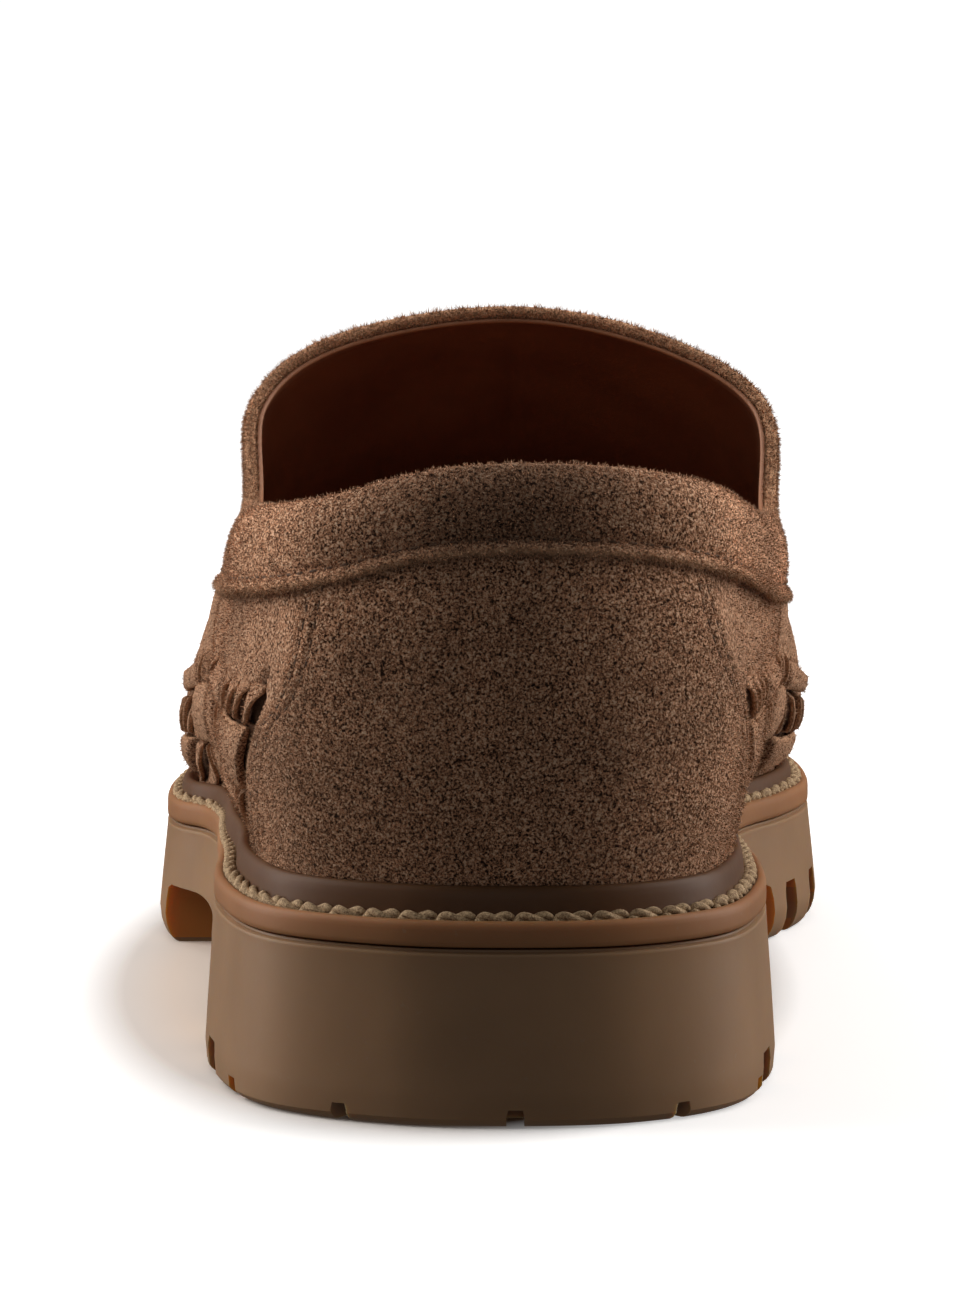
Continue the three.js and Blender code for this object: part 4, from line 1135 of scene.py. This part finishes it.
# Upright strips: the quarter's lower edge cut into tongues, rounded sections up the shoe that rise over the
# straps in one cell, go under them in the next and run into the quarter at the top.
def makeStrips():
    across, out = roundedSection(10, 0.55)
    rows = weave["rows"]
    t = np.linspace(rows[0] - 0.018, rows[-1] + 0.008, 84)
    row = np.clip(np.searchsorted(rows, t, side="right") - 1, 0, 2)
    up = (t - rows[row]) / (rows[row + 1] - rows[row])
    arc = np.sin(math.pi * np.clip(up, 0, 1))
    nearTop = np.where(row == 2, 1.0, smooth((1 - up) / 0.16))
    nearLow = np.where(row == 0, 1.0, smooth(up / 0.16))
    count = weave["stripsPerColumn"]
    pieces, hollowShades, raws = [], [], []
    for side in (-1, 1):
        for column in range(weave["columns"]):
            shown = (column + row) % 2 == 0
            rise = np.where(shown, nearTop * nearLow, 0.0)
            for k in range(count):
                wobble = 0.08 * math.sin(7.1 * column + 2.3 * k + side)
                centre = (column + (k + 0.5) / count) * weave["column"]
                pinch = weave["stripWidth"] - weave["stripPinch"] * arc * shown
                pinch = np.where(row == 2, mix(0.66, 1.0, smooth((up - 0.25) / 0.72)), pinch)
                half = weave["column"] / count / 2 * pinch
                lean = (0.55 * rise * (1 - smooth((up - 0.7) / 0.3) * (row == 2)))[:, None]
                over = weave["stripOver"] + weave["stripPuff"] * arc + wobble
                level = mix(weave["stripUnder"], over, rise)
                level = np.where(row == 2, mix(level, -0.05, smooth((up - 0.8) / 0.2)), level)
                thick = (out[None] - 1) * weave["stripThickness"] / 2
                height = level[:, None] + thick - lean * across[None]
                u = weaveStart(t, side)[:, None] + centre + half[:, None] * across[None]
                points = shellAt(u, side, np.clip(t, 0, 1)[:, None] + 0 * u, height)
                points[..., 2] += latticeNoise(points, 1.6, 9) * 0.16
                pieces.append(points)
                # Painted shade: where a strip runs under a strap it is painted dark and its pale cut edge
                # fainter; only its top, where it joins the quarter, is left unshaded.
                raws.append((np.abs(across[None]) ** 8) * (0.2 + 0.6 * rise[:, None]))
                shaded = np.where((row == 2) & (up > 0.8), 0, 1)
                hollowShades.append((0.85 * (1 - rise) * shaded)[:, None] + 0 * u)
    attributes = {"raw": np.stack(raws), "hollowShade": np.stack(hollowShades)}
    return tubesPiece("wovenStrips", np.stack(pieces), quarterSuede, attributes)


counterSizes = {
    # height, u of the lateral and of the medial side seam there
    "seam": [[30, 49, 50], [35, 47, 49], [41, 42.5, 46], [47, 37.5, 43], [52, 33.5, 39.5], [57, 29, 34.5],
             [61, 22.5, 29], [67, 19.5, 22.5], [75, 18.5, 19.5], [90, 17, 17.5]],
    "heights": (35.5, 79.0),
    "thickness": 0.8,
    "gap": 0.55,
    "columns": 74,
    "rows": 84,
    "reach": 60.0,
    "collarDrop": 10.2,
    "stitchLines": (0.93, 0.86),                             # across, from the middle to the seam
    "stitchDent": 0.32,
}


# A place on the counter: across from -1 at the lateral seam to 1 at the medial one, up from the welt's rim to
# the collar, and out from the last.
def counterPoint(sizes, across, up, out):
    side = np.where(across < 0, -1, 1)
    reach = sizes["reach"]
    height = mix(*sizes["heights"], up)
    place = np.where(side < 0, table(sizes["seam"], height, 1), table(sizes["seam"], height, 2))
    seam = np.arccos(np.clip(1 - (place - heelU) / reach, -1, 1))
    u = heelU + reach * (1 - np.cos(seam * np.abs(across)))
    height = mix(rimTop(u) - 0.6, toplineHeight(u, side) - sizes["collarDrop"], up)
    return shellAt(u, side, shareAtHeight(u, side, height), out)


# Heel counter: a front and a back grid from seam to seam, closed round its border; the front rolls down to
# the shell at the seams and is dented along the stitch lines.
def makeCounter(sizes):
    across, up = np.meshgrid(np.linspace(-1, 1, 2 * sizes["columns"] + 1), np.linspace(0, 1, sizes["rows"]))
    rim = smooth((1 - np.abs(across)) / 0.05)
    outer = mix(0.25, sizes["gap"] + sizes["thickness"], rim)
    lines = sum(bell(np.abs(across) - place, 0.012) for place in sizes["stitchLines"])
    front = counterPoint(sizes, across, up, outer - sizes["stitchDent"] * lines)
    rear = counterPoint(sizes, across, up, np.full_like(across, 0.12))
    rows, columns = across.shape
    size = rows * columns
    faces = [gridFaces(rows, columns), gridFaces(rows, columns, start=size)[:, ::-1]]
    bottom, left = np.arange(columns), np.arange(rows) * columns
    for line in (bottom, bottom + (rows - 1) * columns, left, left + columns - 1):
        faces.append(np.stack([line[:-1], line[1:], line[1:] + size, line[:-1] + size], -1))
    points = np.concatenate([front.reshape(-1, 3), rear.reshape(-1, 3)])
    raw = np.concatenate([(1 - rim).ravel(), np.zeros(size)])
    # Painted shade: the counter's middle is painted a little darker, where the side lamps light it least.
    tone = np.concatenate([(-0.12 * bell(across, 0.55)).ravel(), np.zeros(size)])
    return meshPiece("heelCounter", points, np.vstack(faces), counterSuede, {"raw": raw, "tone": tone})


collarSizes = {
    # drop below the shell's top edge and how far out, from the raw lower edge over the top to the inside
    "profile": [
        [11.2, 0.55], [11.9, 0.9], [12.2, 1.5], [12.0, 2.1], [11.4, 2.35], [10.7, 2.15], [10.2, 1.6],
        [9.8, 1.45], [9.3, 1.65], [8.2, 2.05], [6.2, 2.3], [4.2, 2.35], [2.4, 2.15], [1.0, 1.7], [0.0, 1.15],
        [-0.8, 0.45], [-1.25, -0.5], [-1.3, -1.4], [-0.9, -2.3], [0.0, -2.95], [1.6, -3.3], [4.0, -3.4],
        [7.0, -3.3], [7.3, -3.0], [7.0, -2.6], [4.0, -2.4], [1.0, -2.35], [-0.1, -2.0], [-0.3, -1.0],
        [-0.25, 0.1], [0.4, 0.4], [4.0, 0.4], [8.0, 0.4], [10.6, 0.4]],
    "rawDrop": 11.9,
    "stitchDrop": 9.8,
    "count": 170,
    "end": 93.0,
    # painted light on the cuff's sides, painted shade at its back, and how far that shade spreads
    "sidePaintedLight": 0.6,
    "backPaintedShade": -0.54,
    "backShadeSpread": 0.38,
}


# Shares from -1 to 1 round the heel with their sides and stations, closer together at the back.
def collarLine(sizes, count):
    i = np.arange(-count, count + 1)
    side = np.where(i < 0, -1, 1)
    u = heelU + (sizes["end"] - heelU) * (1 - np.cos(math.pi * np.abs(i) / (2 * count)))
    return i / count, side, u


# Collar band: a padded cuff folded over the top edge, its profile carried round the heel as a Catmull-Rom
# curve, with a raw lower edge roughened by noise under its stitch line. It flattens where it ends.
def makeCollar(sizes):
    share, side, u = collarLine(sizes, sizes["count"])
    profile = np.array(sizes["profile"])
    fineAt = np.linspace(0, len(profile), 84, endpoint=False)
    base = np.floor(fineAt).astype(int)
    around = [profile[(base + k - 1) % len(profile)] for k in range(4)]
    section = cubic(*around, (fineAt - base)[:, None])
    drop, out = section[:, 0][None], section[:, 1][None]
    top = toplineHeight(u, side)[:, None]
    stations, sides = u[:, None] + 0 * drop, side[:, None] + 0 * drop
    closing = smooth((1 - np.abs(share)) / 0.1)[:, None]
    outward = mix(np.clip(out, -2.6, 0.6), out, closing)
    t = shareAtHeight(stations, sides, top - np.maximum(drop, 0))
    points = shellAt(stations, sides, t, outward)
    points[..., 2] += np.maximum(-drop, 0)
    rough = bell(drop - sizes["rawDrop"], 0.7) * (out > 0.5)
    points[..., 2] += (latticeNoise(points, 0.8, 3) * 0.35 + latticeNoise(points, 2.4, 4) * 0.25) * rough
    raw = 0.9 * rough + 0 * points[..., 0]
    # Painted light and shade: the cuff's sides are painted lighter and its back darker, as the side lamps
    # fall on it.
    tone = mix(sizes["sidePaintedLight"], sizes["backPaintedShade"], bell(share, sizes["backShadeSpread"]))[:, None] + 0 * raw
    return tubesPiece("collarBand", points[None], quarterSuede, {"raw": raw, "tone": tone})


# Short thread stitches laid along a line on the suede: slim capsules that dip at both ends.
def stitchRow(line, normals, pitch, length, radius, lift):
    total, path, normal = evenly(line, 3000, normals)
    count = max(int(total / pitch), 1)
    along = np.linspace(-0.5, 0.5, 9)
    where = ((np.arange(count)[:, None] + 0.5) * total / count + along[None] * length) / total
    spot = valuesAlong(where, path)
    up = unit(valuesAlong(where, normal))
    side = unit(np.cross(up, unit(np.gradient(spot, axis=1))))
    swell = np.sqrt(np.clip(1 - (2 * along) ** 2, 0.03, 1))[None, :, None]
    spot = spot + up * (lift * swell - radius * 0.6)
    return circlesAt(spot, side, up, radius * swell[..., None], 6)


seamSizes = {"counter": (2.7, 2.0, 0.26, 0.12), "collar": (2.9, 2.1, 0.26, 0.12),      # pitch, length,
             "moc": (4.0, 3.0, 0.36, 0.16), "mocReach": (152, 266), "mocShare": 0.034}  # radius, lift


# Stitch rows: two beside each counter seam, one round the collar and one on each side of the plug.
def makeSeamStitches(sizes, counter, collar):
    rows = []
    up = np.linspace(0.03, 0.985, 200)
    for side in (-1, 1):
        for place in counter["stitchLines"]:
            across = np.full_like(up, side * place)
            line = counterPoint(counter, across, up, counter["gap"] + counter["thickness"] - 0.3 + 0 * up)
            further = counterPoint(counter, across, up, 3.0 + 0 * up)
            rows.append(stitchRow(line, unit(further - line), *sizes["counter"]))
    share, side, u = collarLine(collar, 300)
    inside = np.abs(share) < 0.985
    u, side = u[inside], side[inside]
    t = shareAtHeight(u, side, toplineHeight(u, side) - collar["stitchDrop"])
    rows.append(stitchRow(shellAt(u, side, t, 1.42 + 0 * u), lastNormal(u, side, t), *sizes["collar"]))
    u = np.linspace(*sizes["mocReach"], 260)
    for side in (-1, 1):
        t = plugLine(u) + sizes["mocShare"]
        line = shellAt(u, side, t, shellRelief(u, side, t))
        rows.append(stitchRow(line, lastNormal(u, side, t), *sizes["moc"]))
    return tubesPiece("seamStitches", np.concatenate(rows), seamThread)


# A place on the crown of the vamp at a given x, by halving, with its relief and normal.
def vampPoint(u, x):
    u, x = np.asarray(u, float), np.asarray(x, float)
    ridge = lastPoint(u, 1, 1.0)[..., 0]
    side = np.where(x < ridge, -1, 1)
    low, high = np.full_like(u, 0.45), np.ones_like(u)
    for _ in range(26):
        middle = (low + high) / 2
        far = np.abs(lastPoint(u, side, middle)[..., 0] - ridge) > np.abs(x - ridge)
        low, high = np.where(far, middle, low), np.where(far, high, middle)
    normal = lastNormal(u, side, low)
    return lastPoint(u, side, low) + normal * shellRelief(u, side, low)[..., None], normal


tasselSizes = {
    "strands": 27,
    # away from the middle, u and radius along the cap
    "capRows": [[3.6, 163, 2.3], [4.4, 165, 3.7], [5.2, 167.5, 4.1], [5.9, 169.5, 3.0], [6.5, 171, 3.9],
                [7.6, 175, 3.5]],
    "fringeStart": (7.4, 174.0),
    "fringeEnd": (13.4, 198.5),
    "spread": 7.4,
    # height of each layer of strands and its painted light and shade, darker for the lower layers under the
    # others
    "layers": [(0.5, -0.35), (1.7, -0.12), (2.9, 0.1)],
}


# A tassel: a wrapped cap and a fringe of narrow suede strands that fan out over the vamp.
def makeTassel(name, side, sizes):
    cap = np.array(sizes["capRows"])
    share = np.linspace(0, 1, 26)
    at = np.linspace(0, 1, len(cap))
    away, u, radius = (np.interp(share, at, cap[:, k]) for k in range(3))
    radius = radius * np.sqrt(np.clip(1 - (2 * share - 1) ** 8, 0.05, 1)) * (1 + 0.05 * np.sin(share * 40))
    spot, normal = vampPoint(u, 4 + side * away)
    forwards = unit(np.gradient(spot, axis=0))
    across = unit(np.cross(forwards, normal))
    ring = 2 * math.pi * np.arange(28) / 28
    centre = spot + normal * (radius * 0.8 + 0.4)[:, None]
    flutes = 1 + 0.03 * np.sin(14 * ring)[None, :, None]
    capLoops = circlesAt(centre, across, normal * 0.8, flutes * radius[:, None, None], 28)
    capPiece = tubesPiece(name, capLoops[None], tasselSuede)
    (awayStart, uStart), (awayEnd, uEnd) = sizes["fringeStart"], sizes["fringeEnd"]
    strands, tones = [], []
    section, out = roundedSection(8, 0.6)
    run = np.linspace(0, 1, 22)
    for layer, (lift, layerShade) in enumerate(sizes["layers"]):
        count = sizes["strands"] // 3 + layer
        for k in range(count):
            fan = ((k + 0.5) / count * 2 - 1) * (1 - 0.12 * layer)
            wave = 0.5 * math.sin(3.1 * k + layer * 2 + side)
            awayNow = mix(awayStart, awayEnd, run) + fan * mix(1.8, sizes["spread"], run ** 0.8) + wave * run
            uNow = mix(uStart, uEnd - 0.6 * abs(wave) - 1.6 * fan ** 2, run)
            base, up = vampPoint(uNow, 4 + side * awayNow)
            tangent = unit(np.gradient(base, axis=0))
            beside = unit(np.cross(tangent, up))
            height = mix(lift + 1.6 * (1 - fan ** 2), lift * 0.9, run) + 0.25
            core = base + up * height[:, None]
            wide = mix(0.62, 0.72, run)[:, None, None]
            # Painted light and shade by layer, the lower strands darker, plus a tone that varies from strand
            # to strand.
            tones.append(np.full((len(run), len(section)), layerShade + 0.1 * math.sin(5.3 * k + layer)))
            strands.append(core[:, None] + beside[:, None] * section[None, :, None] * wide
                           + up[:, None] * out[None, :, None] * 0.34)
    fringe = tubesPiece(name + "Fringe", np.stack(strands), tasselSuede, {"tone": np.stack(tones)})
    return capPiece, fringe


tieSizes = {
    "reach": (-6.0, 14.0),
    "station": 159.2,
    "radius": 1.5,
    "lumps": [(0.9, -2.2, 2.4), (1.2, 4.0, 1.5), (0.9, 10.2, 2.4)],         # height, x, width
}


# The tie: a short lace across the vamp, its two bows and the knot between them, as one lumpy cord.
def makeTie(sizes):
    share = np.linspace(0, 1, 90)
    x = mix(*sizes["reach"], share)
    spot, normal = vampPoint(sizes["station"] + 0.6 * np.sin(share * 6), x)
    lumps = sizes["radius"] + sum(height * bell(x - place, width) for height, place, width in sizes["lumps"])
    lumps = lumps * np.sqrt(np.clip(1 - (2 * share - 1) ** 10, 0.04, 1))
    tangent = unit(np.gradient(spot, axis=0))
    across = unit(np.cross(tangent, normal))
    ring = 2 * math.pi * np.arange(20) / 20
    twist = 1 + 0.07 * np.sin(3 * ring[None] + share[:, None] * 40)
    centre = spot + normal * (lumps * 0.8 + 0.35)[:, None]
    loops = circlesAt(centre, across, normal * 0.8, (lumps[:, None] * twist)[..., None], 20)
    return tubesPiece("tieKnot", loops[None], tasselSuede)


napSizes = {
    "length": 0.62,
    "base": 0.085,
    "lean": 0.75,
    "droop": 0.25,
    "sunk": 0.05,
    "collar": (32000, 11),
    "counter": (26000, 12),
    "quarter": (26000, 13),
    "throat": (7000, 14),
    "weave": (6000, 15),
}


def valuesOf(mesh, name):
    values = np.zeros(len(mesh.vertices), np.float32)
    if name in mesh.attributes:
        mesh.attributes[name].data.foreach_get("value", values)
    return values


# Nap: short closed spikes rooted on a piece's faces by their area and a weight; each leans by a normal draw,
# is as long as half to one and a half lengths, longer on raw edges, and is paler or darker by chance.
def makeNap(name, piece, material, sizes, part, weigh):
    count, seed = sizes[part]
    mesh = piece.data
    mesh.calc_loop_triangles()
    corners = np.empty(len(mesh.loop_triangles) * 3, np.int32)
    mesh.loop_triangles.foreach_get("vertices", corners)
    corners = corners.reshape(-1, 3)
    places = np.empty(len(mesh.vertices) * 3, np.float32)
    mesh.vertices.foreach_get("co", places)
    places = fromFrame(places)
    a, b, c = (places[corners[:, k]] for k in range(3))
    raw, hollowShade = (valuesOf(mesh, key)[corners].mean(1) for key in ("raw", "hollowShade"))
    across = np.cross(b - a, c - a)
    size = np.linalg.norm(across, axis=1)
    normal = across / np.maximum(size, 1e-9)[:, None]
    centre = (a + b + c) / 3
    axis = np.column_stack([np.full(len(centre), 4.0), np.clip(centre[:, 1], 34, 240)])
    outward = (unit(centre[:, :2] - axis) * normal[:, :2]).sum(1)
    measures = {"station": centre[:, 1], "upward": normal[:, 2], "outward": outward, "raw": raw}
    weight = size * np.clip(weigh(measures), 0, None) * (hollowShade < 0.3)
    chance = np.random.default_rng(seed)
    sums = np.cumsum(weight)
    picked = np.minimum(np.searchsorted(sums, chance.random(count) * sums[-1]), len(size) - 1)
    first, second = chance.random((2, count, 1))
    folded = first + second > 1
    first, second = np.where(folded, 1 - first, first), np.where(folded, 1 - second, second)
    up = normal[picked]
    root = a[picked] + (b - a)[picked] * first + (c - a)[picked] * second - up * sizes["sunk"]
    lean = chance.normal(size=(count, 3)) * sizes["lean"] - [0, 0, sizes["droop"]]
    lean = lean - up * np.minimum((lean * up).sum(1, keepdims=True) + 0.55, 0)
    long = sizes["length"] * (0.5 + chance.random((count, 1))) * (1 + 0.5 * raw[picked][:, None])
    tip = root + unit(up + lean) * long
    flat = unit(np.cross(up, np.roll(up, 1, axis=1) + [0.01, 0.02, 0.03]))
    beside = np.cross(up, flat)
    turns = 2 * math.pi * (np.arange(3)[None] / 3 + chance.random((count, 1)))
    base = root[:, None] + sizes["base"] * (flat[:, None] * np.cos(turns)[..., None]
                                            + beside[:, None] * np.sin(turns)[..., None])
    points = np.concatenate([base, tip[:, None]], axis=1)
    one = np.array([[0, 2, 1], [0, 1, 3], [1, 2, 3], [2, 0, 3]])
    faces = (one[None] + (np.arange(count) * 4)[:, None, None]).reshape(-1, 3)
    tone = np.repeat(chance.normal(0.05, 0.28, count), 4)
    pale = np.repeat(raw[picked] * 0.5 + 0.25 * chance.random(count) ** 3, 4)
    return meshPiece(name, points, faces, material, {"tone": tone, "raw": pale}, turned=False)


# Where the fibres grow: the outside of the cuff and its top, thick on the raw ridge.
def collarWeight(faces):
    side = smooth((faces["outward"] + 0.15) / 0.3) * (1 + 3 * faces["raw"])
    return side + 0.8 * smooth((faces["upward"] - 0.5) / 0.3)


# The counter's outside, thicker on its raw rim.
def counterWeight(faces):
    return smooth((faces["outward"] - 0.2) / 0.3) * (1 + faces["raw"])


# The shell's outside behind and beside, thinning out over the vamp.
def quarterWeight(faces):
    near = mix(1.0, 0.12, smooth((faces["station"] - 110) / 50))
    seen = 1 - smooth((30 - faces["station"]) / 8)
    return smooth((faces["outward"] + 0.1) / 0.3) * near * seen * (faces["raw"] < 0.05)


# The raw edge round the throat, in front of the cuff.
def throatWeight(faces):
    return faces["raw"] * (faces["station"] > 90)


# The weave's outside, thicker on raw edges and thinner forwards.
def weaveWeight(faces):
    near = mix(1.0, 0.3, smooth((faces["station"] - 100) / 40))
    return smooth((faces["outward"] - 0.1) / 0.3) * (1 + 2 * faces["raw"]) * near


outsoleBlock = makeOutsole(outsoleSizes)
print("outsole made")
weltRing = makeWelt(weltSizes)
weltStitches = makeWeltStitches(stitchSizes)
print("welt made")
sockLining = makeSock(sockSizes)
upperShell = makeUpper(upperSizes)
shellLining = makeShellLining(upperSizes)
print("shell made")
wovenStraps = makeStraps()
wovenStrips = makeStrips()
print("weave made")
heelCounter = makeCounter(counterSizes)
collarBand = makeCollar(collarSizes)
seamStitches = makeSeamStitches(seamSizes, counterSizes, collarSizes)
print("counter and collar made")
napPieces = [
    makeNap("collarNap", collarBand, quarterSuede, napSizes, "collar", collarWeight),
    makeNap("counterNap", heelCounter, counterSuede, napSizes, "counter", counterWeight),
    makeNap("quarterNap", upperShell, quarterSuede, napSizes, "quarter", quarterWeight),
    makeNap("throatNap", upperShell, quarterSuede, napSizes, "throat", throatWeight),
    makeNap("strapNap", wovenStraps, quarterSuede, napSizes, "weave", weaveWeight),
    makeNap("stripNap", wovenStrips, quarterSuede, napSizes, "weave", weaveWeight)]
print("nap grown")
tieKnot = makeTie(tieSizes)
tasselLateral, fringeLateral = makeTassel("tasselLateral", -1, tasselSizes)
tasselMedial, fringeMedial = makeTassel("tasselMedial", 1, tasselSizes)
print("tassels made")

standsFor = [
    (outsoleBlock, "rubber", "outsole"), (weltRing, "welting", "welt"), (weltStitches, "welting", None),
    (sockLining, "lining", "insole"), (upperShell, "suede", "upper"), (shellLining, "lining", None),
    (wovenStraps, "suede", None), (wovenStrips, "suede", None),
    (heelCounter, "counter_suede", "heel_counter"),
    (collarBand, "suede", "collar_band"), (seamStitches, "suede", None),
    (tieKnot, "counter_suede", "tassel_tie"),
    (tasselLateral, "suede", "tassel_lateral"), (fringeLateral, "suede", "tassel_lateral"),
    (tasselMedial, "suede", "tassel_medial"), (fringeMedial, "suede", "tassel_medial")]
standsFor += [(piece, "suede", None) for piece in napPieces]
for piece, slotName, nodeName in standsFor:
    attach(piece, "root")
    if nodeName:
        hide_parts(nodeName)

studio = {
    "floorColour": (0.93, 0.915, 0.905, 1.0),
    "shadeColour": (1.0, 0.87, 0.76, 1.0),
    "footprint": (0.057, 0.16),
    "shadeShift": 0.0085,
    "worldLight": 0.1,
    "paperGlow": 0.45,
    "paperNear": 0.45,
    "paperFar": 0.9,
    "floorReach": 30.0,
}


# Area lamps: place, aim, size, power and colour.
lamps = {
    "leftSoftbox": ((-0.95, 0.24, 0.5), (0, 0, 0.05), (0.9, 1.2), 14.5, (1.0, 0.97, 0.94)),
    "rightSoftbox": ((0.95, 0.24, 0.5), (0, 0, 0.05), (0.9, 1.2), 14.5 * 0.85, (1.0, 0.97, 0.94)),
    "topSoftbox": ((0.0, 0.15, 1.1), (0, 0, 0.05), (0.9, 0.9), 3.6, (1, 1, 1)),
    "frontFill": ((-0.15, -1.5, 0.7), (0, -0.1, 0.05), (0.8, 0.6), 0.85, (1, 1, 1)),
}


# A pale floor far past the view, painted with a warm shadow and reflection of the shoe round its footprint
# and with its glow cut away there as a painted contact shadow, and a white surround that lights the shoe less
# than it shows.
def makeStudio(look):
    floorMesh = bpy.data.meshes.new("floor")
    far = look["floorReach"]
    corners = [(-far, -far, 0), (far, -far, 0), (far, far, 0), (-far, far, 0)]
    floorMesh.from_pydata(corners, [], [(0, 1, 2, 3)])
    floor = bpy.data.objects.new("floor", floorMesh)
    bpy.context.scene.collection.objects.link(floor)
    material, tree, shader, coords = newMaterial("floorPaper")
    shader.inputs["Roughness"].default_value = 0.6
    wide, long = look["footprint"]
    moved = addNode(tree, "ShaderNodeVectorMath", {0: coords, 1: (look["shadeShift"], 0, 0)}, operation="ADD")
    around = addNode(tree, "ShaderNodeVectorMath", {0: moved.outputs[0], 1: (1 / wide, 1 / long, 1)},
                     operation="MULTIPLY")
    reach = addNode(tree, "ShaderNodeVectorMath", {0: around.outputs[0]}, operation="LENGTH").outputs["Value"]
    # Painted shadow and reflection: the floor turns to the warm shade colour round the shoe's footprint,
    # shifted towards its lateral side.
    clear = rangeOf(tree, reach, 0.78, 1.0)
    colour = mixColour(tree, clear, look["shadeColour"], look["floorColour"])
    tree.links.new(colour, shader.inputs["Base Color"])
    distance = addNode(tree, "ShaderNodeVectorMath", {0: coords}, operation="LENGTH").outputs["Value"]
    glow = rangeOf(tree, distance, look["paperNear"], look["paperFar"], look["paperGlow"], 1.0)
    # Painted contact shadow: the glow is cut away under and right round the shoe.
    glow = mathOf(tree, "MULTIPLY", glow, rangeOf(tree, reach, 0.92, 1.06))
    shader.inputs["Emission Color"].default_value = (1.0, 1.0, 1.0, 1.0)
    tree.links.new(glow, shader.inputs["Emission Strength"])
    floorMesh.materials.append(material)
    floor.visible_diffuse = False
    floor.visible_glossy = False
    world = bpy.data.worlds.new("studio")
    world.use_nodes = True
    tree = world.node_tree
    tree.nodes.clear()
    seen = addNode(tree, "ShaderNodeLightPath").outputs["Is Camera Ray"]
    strength = times(tree, seen, 1.05 - look["worldLight"])
    strength = plus(tree, strength, look["worldLight"])
    light = addNode(tree, "ShaderNodeBackground", {"Color": (1, 1, 1, 1), "Strength": strength})
    addNode(tree, "ShaderNodeOutputWorld", {"Surface": light.outputs[0]})
    bpy.context.scene.world = world


# A rectangular area lamp turned to its target.
def makeLamp(name, place, target, size, power, colour):
    lamp = bpy.data.lights.new(name, "AREA")
    lamp.shape = "RECTANGLE"
    lamp.size, lamp.size_y = size
    lamp.energy = power
    lamp.color = colour
    holder = bpy.data.objects.new(name, lamp)
    bpy.context.scene.collection.objects.link(holder)
    direction = Vector(target) - Vector(place)
    holder.location = place
    holder.rotation_euler = direction.to_track_quat("-Z", "Y").to_euler()
    return holder


makeStudio(studio)
for name, values in lamps.items():
    makeLamp(name, *values)

view = {"place": (-0.0009, -1.049, 0.1626), "tilt": 84.12, "lens": 233.8}
camera = bpy.data.objects.new("camera", bpy.data.cameras.new("camera"))
bpy.context.scene.collection.objects.link(camera)
camera.location = view["place"]
camera.rotation_euler = (math.radians(view["tilt"]), 0, 0)
camera.data.sensor_fit = "HORIZONTAL"
camera.data.sensor_width = 36.0
camera.data.lens = view["lens"]
camera.data.clip_start = 0.05
bpy.context.scene.camera = camera
bpy.context.scene.view_settings.view_transform = "Standard"
print("studio ready")
